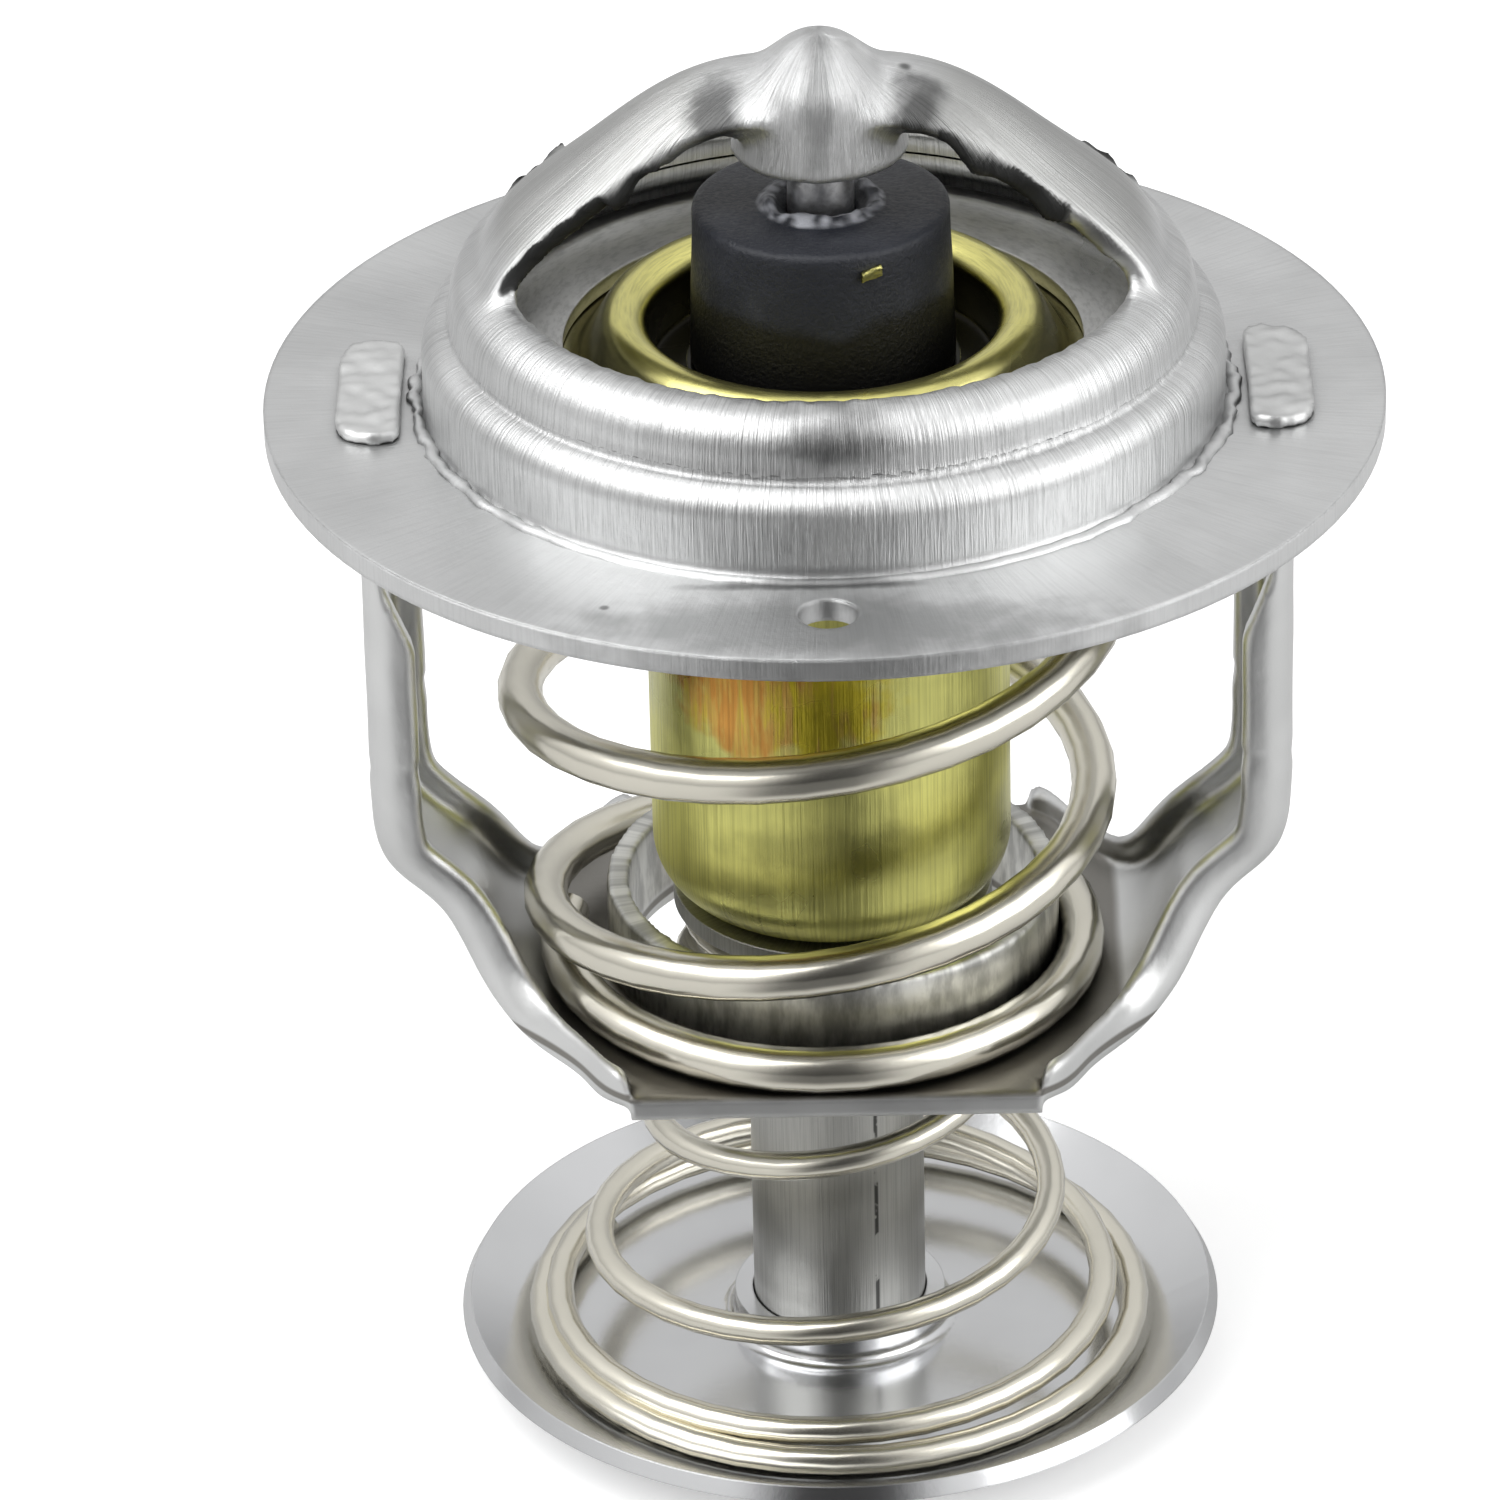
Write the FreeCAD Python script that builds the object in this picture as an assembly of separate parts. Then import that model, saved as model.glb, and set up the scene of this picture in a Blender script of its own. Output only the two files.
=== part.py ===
import FreeCAD, Part
import math
import os

# Engine thermostat: a wax-element valve with a flat mounting flange, a bridge that holds the
# piston's tip, a lower frame that carries the main spring, and a bypass dish on a stem.
# Millimetres. The axis is Z, the flange's top face is z = 0 and the inlet side is below.
# The bridge and the legs of the lower frame run along X. The element goes down as it opens.

V = FreeCAD.Vector
AXIS = V(0, 0, 1)
CENTRE = V(0, 0, 0)

# Flange, dome and bridge: one pressing
SHEET = 1.1                 # sheet of the pressed steel parts
EDGE_R = 0.4                # rounding of cut and turned edges
FLANGE_R = 27.0             # clamped between the housing halves
DOME_R = 19.3               # lower tier of the dome, outside
DOME_STEP_Z = 3.9           # where the lower tier ends
STEP_RISE = 0.4             # the step climbs a little towards the upper tier
UPPER_R = 17.9              # upper tier, outside
DOME_TOP_Z = 7.35           # flat ring round the opening
OPENING_R = 15.2            # opening in the top ring
BEND = 0.9                  # inside radius of the press bends
VENT_R = 1.4                # air bleed hole
VENT_AT_R = 22.6            # its place, towards the front
FOOT_X = 16.9               # bridge strip: start inside the dome's shoulder
FOOT_Z = 6.1
KNEE_X = 15.5               # the strip leaves the ring here
KNEE_Z = 9.2
HAUNCH_X = 11.5             # middle of the strip
HAUNCH_Z = 13.0
NECK_X = 7.2                # where it nears the socket
NECK_Z = 16.2
HEAD_X = 2.3                # end inside the socket
HEAD_Z = 17.5
STRIP_FOOT_HALF = 5.0       # half width of the strip at its foot and at the socket
STRIP_HEAD_HALF = 3.5
STRIP_FOOT_CROWN = 0.5      # how far the strip's middle stands above its edges
STRIP_HEAD_CROWN = 1.9
STRIP_SECTIONS = 9
SOCKET_TOP_Z = 18.95        # pointed socket in the bridge's middle
SOCKET_TOP_R = 1.1          # where its blunt point turns down
SOCKET_POINT_BEND = 1.6     # inside radius of that bend
SOCKET_SHOULDER_R = 3.5     # where its roof meets its wall
SOCKET_SHOULDER_Z = 16.9
SOCKET_SHOULDER_BEND = 0.9
SOCKET_RIM_R = 4.3
SOCKET_RIM_Z = 12.9

# Lower frame: one pressing, legs at left and right
LEG_X = 22.5                # outer face of the leg
LEG_HALF = 5.0              # half width of the leg
LIP_DEPTH = 2.5             # depth of the turned-in lips, outer face to edge
LIP_BEND = 0.3              # inside radius of the lip's bend
LIP_END_Z = -7.9            # the lips run out to the web between these heights
LIP_FULL_Z = -11.5
LIP_END_R = 2.4             # rounding at both ends of that run
LEG_LOW_Z = -17.6           # the straight leg ends here
SHOULDER_Z = -24.1          # corners that the strap's line passes near
UPPER_CORNER_X = 18.9
UPPER_CORNER_Z = -26.2
LOWER_CORNER_X = 17.3
LOWER_CORNER_Z = -30.2
BASE_CORNER_X = 14.8
BASE_Z = -32.4              # underside of the base plate
BASE_HALF = 14.2            # half width of the base plate
BASE_END_X = 10.0           # the lips stop here, each side of the middle
BASE_LIP_R = 1.0            # rounding of that end
STRAP_HALF_WIDTHS = ((0.0, LEG_HALF), (0.4, 4.6), (0.55, 5.8), (0.7, 7.3), (0.85, 10.0))
STRAP_STATIONS = 19
COLLAR_BORE_R = 10.1        # collar drawn up round the element
COLLAR_TOP_Z = -26.8
TAB_HALF = 4.2              # half width of the neck in the flange's slot
HEAD_HALF = 5.0             # half width of the head folded over the flange
HEAD_IN_X = 20.3            # head, from its inner to its outer edge
HEAD_OUT_X = 23.4
HEAD_CORNER_R = 1.6
HEAD_HIGH = 0.6
SLOT_GAP = 0.1              # slot round the neck

# Seat ring pressed into the dome
SEAT_SHEET = 0.9
SEAT_LIP_R = 12.5           # bore of the seat
SEAT_TOP_Z = 2.85           # top of the seat's lip
SEAT_RISE = 0.4             # the ring climbs towards the wall
PRESS_GAP = 0.05            # what pressed or staked pieces leave between them
SEAT_WALL_R = DOME_R - SHEET - PRESS_GAP - SEAT_SHEET    # inside of the seat's wall

# Element: brass case with the main valve disc
VALVE_SHEET = 0.9
VALVE_GAP = 0.1             # disc to seat, closed
VALVE_ROOM = 1.95           # edge of the disc to the seat's wall
VALVE_R = SEAT_WALL_R - VALVE_ROOM
VALVE_CONE_R = 12.0         # foot of the slope
CROWN_R = 10.3              # raised ring, outside and inside
CROWN_BORE_R = 8.4
CROWN_TOP_Z = 4.65
VALVE_FOOT_Z = 0.35         # underside of the disc's inner flange
VALVE_BORE_R = 5.4
VALVE_BEND = 0.3            # inside radius of its bends
CASE_R = 8.85
CASE_WALL = 0.8
CASE_BOTTOM_Z = -27.0
CASE_CORNER = 2.2           # inside radius of the case's bottom corner
CASE_LIP_R = 7.0            # mouth turned in over the bush
PISTON_R = 1.6
PISTON_TIP_R = 1.35         # reduced end in the socket
PISTON_STEP_Z = 11.9
PISTON_LENGTH_BELOW = 15.0  # how far the piston reaches below z = 0
SLIDE_GAP = 0.05            # piston to the pieces that it slides in
BUSH_NECK_R = 4.5           # guide bush inside the rubber cap
BUSH_FLANGE_HIGH = 1.5
BUSH_TOP_Z = 8.5
BUSH_COLLAR_R = 6.6         # shoulder rolled over the disc's inner flange
BUSH_COLLAR_HIGH = 0.5
BUSH_SPIGOT_R = 3.2
BUSH_SPIGOT_HIGH = 4.0
SLEEVE_WALL = 1.2           # rubber sleeve round the piston in the wax
RING_HIGH = 1.0             # backing ring between bush and sleeve
CAP_R = 6.15                # rubber cap on the bush
CAP_FOOT_R = 6.4
CAP_TOP_Z = 10.1
CAP_EDGE = 0.5
CAP_LIP_R = 2.7             # raised lip round the piston
CAP_LIP_HIGH = 0.35
CAP_LIP_EDGE = 0.1          # rounding of its rims
CAP_MOUTH_R = 2.1           # mouth of the lip, wider than the piston

# Bypass: stem, conical spring and dish
STEM_R = 4.35
STEM_WALL = 0.9
STEM_FLANGE_SET = 0.95      # its flange lies this far inside the case's wall
DISH_SHEET = 0.9
DISH_R = 18.75              # inner edge of the rim
DISH_RIM_Z = -50.9          # height of that edge
DISH_FLOOR_R = 15.7         # where the floor turns up
DISH_FLOOR_Z = -52.6        # top of the floor
DISH_COLLAR_HIGH = 1.5      # collar drawn up round the stem, above the floor
DISH_COLLAR_BEND = 0.7
STEM_SLIDE_GAP = 0.08
STEM_FLARE_ANGLE = 60.0     # degrees that the stem's end is spread

# Springs: turns are counted from the front, going up as a right-hand screw
SEAT_CLEAR = 0.05           # wire to the face that it bears on
MAIN_WIRE_R = 1.12
MAIN_TOP_IN = 1.0           # middle of the wire, uppermost turns, inside the disc's edge
MAIN_TOP_R = VALVE_R - MAIN_TOP_IN
MAIN_MIDDLE_R = 13.4        # the same for the middle turn and the lowest turn
MAIN_FOOT_R = 12.7
MAIN_TOP_SHIFT = -0.4       # the spring sits a little to the left of the axis
MAIN_FOOT_SHIFT = -0.4
MAIN_EASE = 0.1             # part of a turn over which the pitch sets in
MAIN_CLOSED = 0.75          # flat turns at each end
MAIN_OPEN = 2.62            # turns between them
MAIN_START = -0.20          # turns from the front to where the lower end starts
BYPASS_WIRE_R = 0.72
BYPASS_FOOT_R = 15.1        # radius at the front of the lowest turn, and of each turn above it
BYPASS_SECOND_R = 13.85
BYPASS_THIRD_R = 11.5
BYPASS_FOURTH_R = 8.5
BYPASS_TOP_R = 6.8
BYPASS_SECOND_RISE = 0.95   # rise of each turn above the lowest one
BYPASS_THIRD_RISE = 5.4
BYPASS_FOURTH_RISE = 13.3
BYPASS_TAIL = -0.355        # the lower end, behind and to the left
BYPASS_OPEN_END = 4.25      # the upper end lies flat from here
BYPASS_END = 5.0
POINTS_PER_TURN = 16


def rounded_outline(corners):
    """Closed wire in the XZ plane through (x, z, radius) corners, rounded by tangent arcs."""
    starts, edges = [], []
    count = len(corners)
    for i in range(count):
        here = V(corners[i][0], 0, corners[i][1])
        before = V(corners[i - 1][0], 0, corners[i - 1][1]) - here
        after = V(corners[(i + 1) % count][0], 0, corners[(i + 1) % count][1]) - here
        radius = corners[i][2] if len(corners[i]) > 2 else 0
        if radius <= 0:
            starts.append((here, here, None))
            continue
        before.normalize()
        after.normalize()
        half = before.getAngle(after) / 2
        reach = radius / math.tan(half)
        middle = before + after
        middle.normalize()
        crest = here + middle * (radius / math.sin(half) - radius)
        starts.append((here + before * reach, here + after * reach, crest))
    for i in range(count):
        entry, leave, crest = starts[i]
        if crest is not None:
            edges.append(Part.Arc(entry, crest, leave).toShape())
        nearest = starts[(i + 1) % count][0]
        if (nearest - leave).Length > 1e-6:
            edges.append(Part.LineSegment(leave, nearest).toShape())
    return Part.Wire(edges)


def sheet_sides(path, thickness):
    """Both sides of a bent sheet. The path is its left side, as (x, z, inside bend radius)."""
    points = [V(p[0], 0, p[1]) for p in path]
    bends = [p[2] if len(p) > 2 else 0 for p in path]
    left, right = [], []
    for i, point in enumerate(points):
        ahead = points[i + 1] - point if i + 1 < len(points) else point - points[i - 1]
        behind = point - points[i - 1] if i else ahead
        ahead.normalize()
        behind.normalize()
        right_ahead = V(ahead.z, 0, -ahead.x)
        right_behind = V(behind.z, 0, -behind.x)
        mitre = right_ahead + right_behind
        mitre.normalize()
        offset = mitre * (thickness / mitre.dot(right_ahead))
        turn = behind.x * ahead.z - behind.z * ahead.x
        near = bends[i] + thickness if turn < 0 and bends[i] else bends[i]
        far = bends[i] + thickness if turn > 0 and bends[i] else bends[i]
        left.append((point.x, point.z, near))
        right.append((point.x + offset.x, point.z + offset.z, far))
    return left, right


def sheet_outline(path, thickness):
    """Outline of a bent sheet between its two sides."""
    left, right = sheet_sides(path, thickness)
    return rounded_outline(left + right[::-1])


def turned(wire):
    """Solid of revolution about the axis."""
    return Part.Face(wire).revolve(CENTRE, AXIS, 360)


def pressed(wire, half_width):
    """Profile in the XZ plane, extruded to both sides of it."""
    face = Part.Face(wire)
    face.translate(V(0, -half_width, 0))
    return face.extrude(V(0, 2 * half_width, 0))


def tube(outer, inner, low, high):
    """Plain ring between two heights."""
    return turned(rounded_outline([(inner, low), (outer, low), (outer, high), (inner, high)]))


def rod(radius, low, high):
    """Plain cylinder on the axis."""
    return Part.makeCylinder(radius, high - low, V(0, 0, low))


def mirrored(shape):
    """The same shape on the other side, across the YZ plane."""
    return shape.mirror(CENTRE, V(1, 0, 0))


def both_sides(shape):
    """A right-hand shape and its mirror image, as a list."""
    return [shape, mirrored(shape)]


def smooth_path(stations, place):
    """Value at a place between stations (place, value), with no overshoot between them."""
    for (p0, v0, s0), (p1, v1, s1) in zip(stations, stations[1:]):
        if place <= p1:
            width = p1 - p0
            u = (place - p0) / width
            return (v0 * (1 + 2 * u) * (1 - u) ** 2 + v1 * u * u * (3 - 2 * u)
                    + s0 * width * u * (1 - u) ** 2 - s1 * width * u * u * (1 - u))
    return stations[-1][1]


def with_slopes(places, values):
    """Stations (place, value, slope) whose slopes keep the curve between its stations."""
    steps = [(values[i + 1] - values[i]) / (places[i + 1] - places[i])
             for i in range(len(places) - 1)]
    slopes = [0.0]
    for left, right in zip(steps, steps[1:]):
        slopes.append(0.0 if left * right <= 0 else 2 * left * right / (left + right))
    slopes.append(0.0)
    return list(zip(places, values, slopes))


def coil(heights, radii, shifts, wire_r, start, end):
    """Right-hand coil spring. Heights, radii and shifts along X are stations along the turns.

    A turn is counted from the front.
    """
    steps = int(round((end - start) * POINTS_PER_TURN))
    points = []
    for i in range(steps + 1):
        turn = start + (end - start) * i / steps
        angle = math.radians(turn * 360 - 90)
        r = smooth_path(radii, turn)
        points.append(V(smooth_path(shifts, turn) + r * math.cos(angle), r * math.sin(angle),
                        smooth_path(heights, turn)))
    curve = Part.BSplineCurve()
    curve.interpolate(points)
    path = Part.Wire([curve.toShape()])
    tangent = curve.tangent(curve.FirstParameter)[0]
    section = Part.Wire([Part.makeCircle(wire_r, points[0], tangent)])
    return path.makePipeShell([section], True, True)


def ridge_stations():
    """Points, slopes and section sizes along the bridge strip, from its foot to the socket."""
    curve = Part.BSplineCurve()
    curve.interpolate([V(FOOT_X, 0, FOOT_Z), V(KNEE_X, 0, KNEE_Z), V(HAUNCH_X, 0, HAUNCH_Z),
                       V(NECK_X, 0, NECK_Z), V(HEAD_X, 0, HEAD_Z)])
    stations = []
    for i in range(STRIP_SECTIONS):
        share = i / (STRIP_SECTIONS - 1)
        place = curve.FirstParameter + share * (curve.LastParameter - curve.FirstParameter)
        narrow = math.sin(share * math.pi / 2)
        half = STRIP_FOOT_HALF + (STRIP_HEAD_HALF - STRIP_FOOT_HALF) * narrow
        crown = STRIP_FOOT_CROWN + (STRIP_HEAD_CROWN - STRIP_FOOT_CROWN) * share
        stations.append((curve.value(place), curve.tangent(place)[0], half, crown))
    return stations


def strip_section(point, along, half, crown):
    """Arched section of the strip, square to its ridge."""
    up = along.cross(V(0, 1, 0))
    if up.z < 0:
        up = -up
    radius = (half * half + crown * crown) / (2 * crown)
    centre = point - up * radius
    spread = math.asin(min(half / radius, 1))

    def on_arc(r, angle):
        return centre + up * (r * math.cos(angle)) + V(0, r * math.sin(angle), 0)

    inner = radius - SHEET
    edges = [Part.Arc(on_arc(radius, -spread), on_arc(radius, 0), on_arc(radius, spread)).toShape(),
             Part.LineSegment(on_arc(radius, spread), on_arc(inner, spread)).toShape(),
             Part.Arc(on_arc(inner, spread), on_arc(inner, 0), on_arc(inner, -spread)).toShape(),
             Part.LineSegment(on_arc(inner, -spread), on_arc(radius, -spread)).toShape()]
    return Part.Wire(edges)


def socket_path():
    """Outer line of the pointed socket, from its point to its rim."""
    return [(0, SOCKET_TOP_Z), (SOCKET_TOP_R, SOCKET_TOP_Z, SOCKET_POINT_BEND),
            (SOCKET_SHOULDER_R, SOCKET_SHOULDER_Z, SOCKET_SHOULDER_BEND),
            (SOCKET_RIM_R, SOCKET_RIM_Z)]


def filled(side, low_z):
    """Solid of revolution under a line that starts on the axis, down to a height."""
    return turned(rounded_outline(side + [(side[-1][0], low_z), (0, low_z)]))


def flange_bridge():
    """Flange, two-tier dome and the bridge over its opening, pressed from one sheet."""
    dome = turned(sheet_outline([
        (OPENING_R, DOME_TOP_Z), (UPPER_R, DOME_TOP_Z, BEND),
        (UPPER_R, DOME_STEP_Z + STEP_RISE, SHEET / 4), (DOME_R, DOME_STEP_Z, BEND / 2),
        (DOME_R, 0, BEND / 2), (FLANGE_R, 0)], SHEET))
    strip = Part.makeLoft([strip_section(*s) for s in ridge_stations()], True, False)
    outside, inside = sheet_sides(socket_path(), SHEET)
    body = dome.fuse(both_sides(strip) + [turned(rounded_outline(outside + [(0, SOCKET_RIM_Z)]))])
    slot = Part.makeBox(SHEET + 2 * SLOT_GAP, 2 * (TAB_HALF + SLOT_GAP), 3 * SHEET,
                        V(LEG_X - SHEET - SLOT_GAP, -TAB_HALF - SLOT_GAP, -2 * SHEET))
    vent = Part.makeCylinder(VENT_R, 3 * SHEET, V(0, -VENT_AT_R, -2 * SHEET))
    return body.cut([filled(inside, SOCKET_RIM_Z - 2 * SHEET), vent] + both_sides(slot))


def seat_ring():
    """Ring that the main valve closes against, its skirt pressed into the dome."""
    skirt_r = DOME_R - SHEET - PRESS_GAP
    return turned(sheet_outline([
        (SEAT_LIP_R, SEAT_TOP_Z), (UPPER_R - 2 * SHEET, SEAT_TOP_Z + SEAT_RISE, BEND / 2),
        (skirt_r, DOME_STEP_Z - SHEET - PRESS_GAP, BEND / 2), (skirt_r, -SHEET)], SEAT_SHEET))


def strap_line():
    """Smooth outer line of the right-hand strap, from the leg down to the base."""
    line = Part.BSplineCurve()
    line.buildFromPoles([V(LEG_X, 0, LEG_LOW_Z), V(LEG_X, 0, (LEG_LOW_Z + SHOULDER_Z) / 2),
                         V(LEG_X, 0, SHOULDER_Z), V(UPPER_CORNER_X, 0, UPPER_CORNER_Z),
                         V(LOWER_CORNER_X, 0, LOWER_CORNER_Z), V(BASE_CORNER_X, 0, BASE_Z),
                         V((BASE_CORNER_X + BASE_END_X) / 2, 0, BASE_Z),
                         V(BASE_END_X, 0, BASE_Z)], False, 3)
    return line


def trough_outline(half):
    """Section of the strap: a web along X with a lip turned up at each end."""
    bend = LIP_BEND + SHEET
    return rounded_outline([
        (-half, 0, bend), (half, 0, bend), (half, LIP_DEPTH, EDGE_R),
        (half - SHEET, LIP_DEPTH, EDGE_R), (half - SHEET, SHEET, LIP_BEND),
        (SHEET - half, SHEET, LIP_BEND), (SHEET - half, LIP_DEPTH, EDGE_R),
        (-half, LIP_DEPTH, EDGE_R)])


def trough_section(point, along, half):
    """That section set square to the strap's line, its lips turned inwards."""
    across = V(0, 1, 0)
    inward = along.cross(across)
    if inward.dot(V(-1, 0, 1)) < 0:
        inward = -inward
    wire = trough_outline(half)
    wire.Placement = FreeCAD.Placement(
        point, FreeCAD.Rotation(across, inward.cross(across), inward, "ZXY"))
    return wire


def strap():
    """Bent strap that widens from the leg to the base."""
    line = strap_line()
    widths = with_slopes(*zip(*STRAP_HALF_WIDTHS, (1.0, BASE_HALF)))
    sections = []
    for k, point in enumerate(line.discretize(Number=STRAP_STATIONS)):
        along = line.tangent(line.parameter(point))[0]
        half = smooth_path(widths, k / (STRAP_STATIONS - 1))
        sections.append(trough_section(point, along, half))
    return Part.makeLoft(sections, True, False)


def lip_run_out():
    """What is cut off the upper end of the leg's lips, so that they run out to the web."""
    web_in = LEG_X - SHEET
    edge_x = LEG_X - LIP_DEPTH
    low = LIP_FULL_Z - 2 * LIP_END_R
    return pressed(rounded_outline([
        (web_in, LIP_END_Z, LIP_END_R), (edge_x, LIP_FULL_Z, LIP_END_R), (edge_x - EDGE_R, low),
        (edge_x - LIP_DEPTH, low), (edge_x - LIP_DEPTH, 0), (web_in, 0)]), 2 * LEG_HALF)


def lower_frame():
    """Base plate with its collar, two bent straps and legs, and the tabs through the flange."""
    web_in = LEG_X - SHEET
    bent = strap()
    top = max(bent.Faces, key=lambda face: face.CenterOfMass.z)
    leg = top.extrude(V(0, 0, -SHEET - LEG_LOW_Z)).cut(lip_run_out())
    neck = Part.makeBox(SHEET, 2 * TAB_HALF, 2 * SHEET, V(web_in, -TAB_HALF, -2 * SHEET))
    side = bent.fuse(leg).cut(base_lip_end()).fuse([neck, tab_head()])
    plate = Part.makeBox(2 * BASE_END_X, 2 * BASE_HALF, SHEET, V(-BASE_END_X, -BASE_HALF, BASE_Z))
    base_top = BASE_Z + SHEET
    root_r = COLLAR_BORE_R + SHEET + 2 * BEND
    plate = plate.cut(rod(root_r, BASE_Z - SHEET, base_top + SHEET))
    collar = turned(sheet_outline([
        (COLLAR_BORE_R + SHEET, COLLAR_TOP_Z), (COLLAR_BORE_R + SHEET, base_top, BEND),
        (root_r, base_top)][::-1], -SHEET))
    return plate.fuse([collar] + both_sides(side))


def tab_head():
    """Head of the tab, folded flat over the flange."""
    corners = [(HEAD_IN_X, -HEAD_HALF, HEAD_CORNER_R / 2), (HEAD_OUT_X, -HEAD_HALF, HEAD_CORNER_R),
               (HEAD_OUT_X, HEAD_HALF, HEAD_CORNER_R), (HEAD_IN_X, HEAD_HALF, HEAD_CORNER_R / 2)]
    outline = rounded_outline(corners)
    outline.rotate(CENTRE, V(1, 0, 0), -90)
    return Part.Face(outline).extrude(V(0, 0, HEAD_HIGH))


def base_lip_end():
    """What is cut away to round the lower end of the lips, beside the base plate."""
    low = BASE_Z + SHEET
    block = Part.makeBox(BASE_LIP_R, 4 * BASE_HALF, 2 * LIP_DEPTH,
                         V(BASE_END_X, -2 * BASE_HALF, BASE_Z + LIP_DEPTH - BASE_LIP_R))
    post = Part.makeCylinder(BASE_LIP_R, 4 * BASE_HALF,
                             V(BASE_END_X + BASE_LIP_R, -2 * BASE_HALF,
                               BASE_Z + LIP_DEPTH - BASE_LIP_R), V(0, 1, 0))
    keep = Part.makeBox(4 * BASE_LIP_R, 4 * BASE_HALF, SHEET, V(0, -2 * BASE_HALF, low - SHEET))
    return block.cut([post, keep])


def piston():
    """Steel pin: its tip stands in the bridge's socket, its lower end in the rubber sleeve."""
    tip_z = SOCKET_TOP_Z - SHEET - PRESS_GAP
    foot_z = -PISTON_LENGTH_BELOW
    step = PISTON_R - PISTON_TIP_R
    return turned(rounded_outline([
        (0, foot_z), (PISTON_R, foot_z, EDGE_R), (PISTON_R, PISTON_STEP_Z, EDGE_R / 2),
        (PISTON_TIP_R, PISTON_STEP_Z + step), (PISTON_TIP_R, tip_z, PISTON_TIP_R - PRESS_GAP),
        (0, tip_z)]))


def main_spring():
    """Spring from the base plate up to the underside of the main valve disc."""
    foot = BASE_Z + SHEET + SEAT_CLEAR + MAIN_WIRE_R
    head = valve_under_z() - SEAT_CLEAR - MAIN_WIRE_R
    places = [MAIN_START, MAIN_START + MAIN_CLOSED, MAIN_START + MAIN_CLOSED + MAIN_OPEN,
              MAIN_START + 2 * MAIN_CLOSED + MAIN_OPEN]
    pitch = (head - foot) / MAIN_OPEN
    ease = MAIN_EASE * pitch
    heights = [(places[0], foot, 0), (places[1] - MAIN_EASE, foot, 0),
               (places[1] + MAIN_EASE, foot + ease, pitch),
               (places[2] - MAIN_EASE, head - ease, pitch), (places[2] + MAIN_EASE, head, 0),
               (places[3], head, 0)]
    middle = (places[0] + places[3]) / 2
    radii = with_slopes([places[0], middle, places[2] - MAIN_CLOSED, places[3]],
                        [MAIN_FOOT_R, MAIN_MIDDLE_R, MAIN_TOP_R, MAIN_TOP_R])
    shifts = with_slopes([places[0], places[3]], [MAIN_FOOT_SHIFT, MAIN_TOP_SHIFT])
    return coil(heights, radii, shifts, MAIN_WIRE_R, places[0], places[3])


def valve_top_z():
    """Upper face of the main valve disc under the seat's lip."""
    return SEAT_TOP_Z - SEAT_SHEET - VALVE_GAP


def valve_under_z():
    """Lower face of the disc, where the main spring bears."""
    return valve_top_z() - VALVE_SHEET


def main_valve():
    """Brass valve disc with a raised ring round the guide, held on the case by its flange."""
    floor = VALVE_FOOT_Z + VALVE_SHEET
    return turned(sheet_outline([
        (VALVE_BORE_R, floor), (CROWN_BORE_R, floor, VALVE_BEND),
        (CROWN_BORE_R, CROWN_TOP_Z, VALVE_BEND), (CROWN_R, CROWN_TOP_Z, VALVE_BEND),
        (VALVE_CONE_R, valve_top_z(), BEND), (VALVE_R, valve_top_z())], VALVE_SHEET))


def wax_case():
    """Deep brass cup that holds the wax, its mouth turned in over the guide bush."""
    lip_top = VALVE_FOOT_Z - PRESS_GAP
    return turned(sheet_outline([
        (CASE_LIP_R, lip_top), (CASE_R, lip_top, CASE_WALL / 2),
        (CASE_R, CASE_BOTTOM_Z, CASE_CORNER), (0, CASE_BOTTOM_Z)], CASE_WALL))


def bush_flange_top_z():
    """Top of the bush's flange, under the case's turned-in mouth."""
    return VALVE_FOOT_Z - CASE_WALL - 2 * PRESS_GAP


def guide_bush():
    """Brass guide for the piston, held in the mouth of the case."""
    bore = PISTON_R + SLIDE_GAP
    flange_top = bush_flange_top_z()
    flange_low = flange_top - BUSH_FLANGE_HIGH
    flange_r = CASE_R - CASE_WALL - PRESS_GAP
    disc_r = VALVE_BORE_R - PRESS_GAP
    disc_top = VALVE_FOOT_Z + VALVE_SHEET + PRESS_GAP
    collar_top = disc_top + BUSH_COLLAR_HIGH
    return turned(rounded_outline([
        (bore, flange_low - BUSH_SPIGOT_HIGH), (BUSH_SPIGOT_R, flange_low - BUSH_SPIGOT_HIGH),
        (BUSH_SPIGOT_R, flange_low), (flange_r, flange_low), (flange_r, flange_top, CASE_WALL),
        (disc_r, flange_top), (disc_r, disc_top), (BUSH_COLLAR_R, disc_top),
        (BUSH_COLLAR_R, collar_top), (BUSH_NECK_R, collar_top), (BUSH_NECK_R, BUSH_TOP_Z, EDGE_R),
        (bore, BUSH_TOP_Z)]))


def spigot_end_z():
    """Lower end of the bush's spigot."""
    return bush_flange_top_z() - BUSH_FLANGE_HIGH - BUSH_SPIGOT_HIGH


def backing_ring():
    """Hard plastic ring that keeps the rubber from creeping up beside the piston."""
    high = spigot_end_z() - PRESS_GAP
    return tube(BUSH_SPIGOT_R, PISTON_R + SLIDE_GAP, high - RING_HIGH, high)


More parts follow.
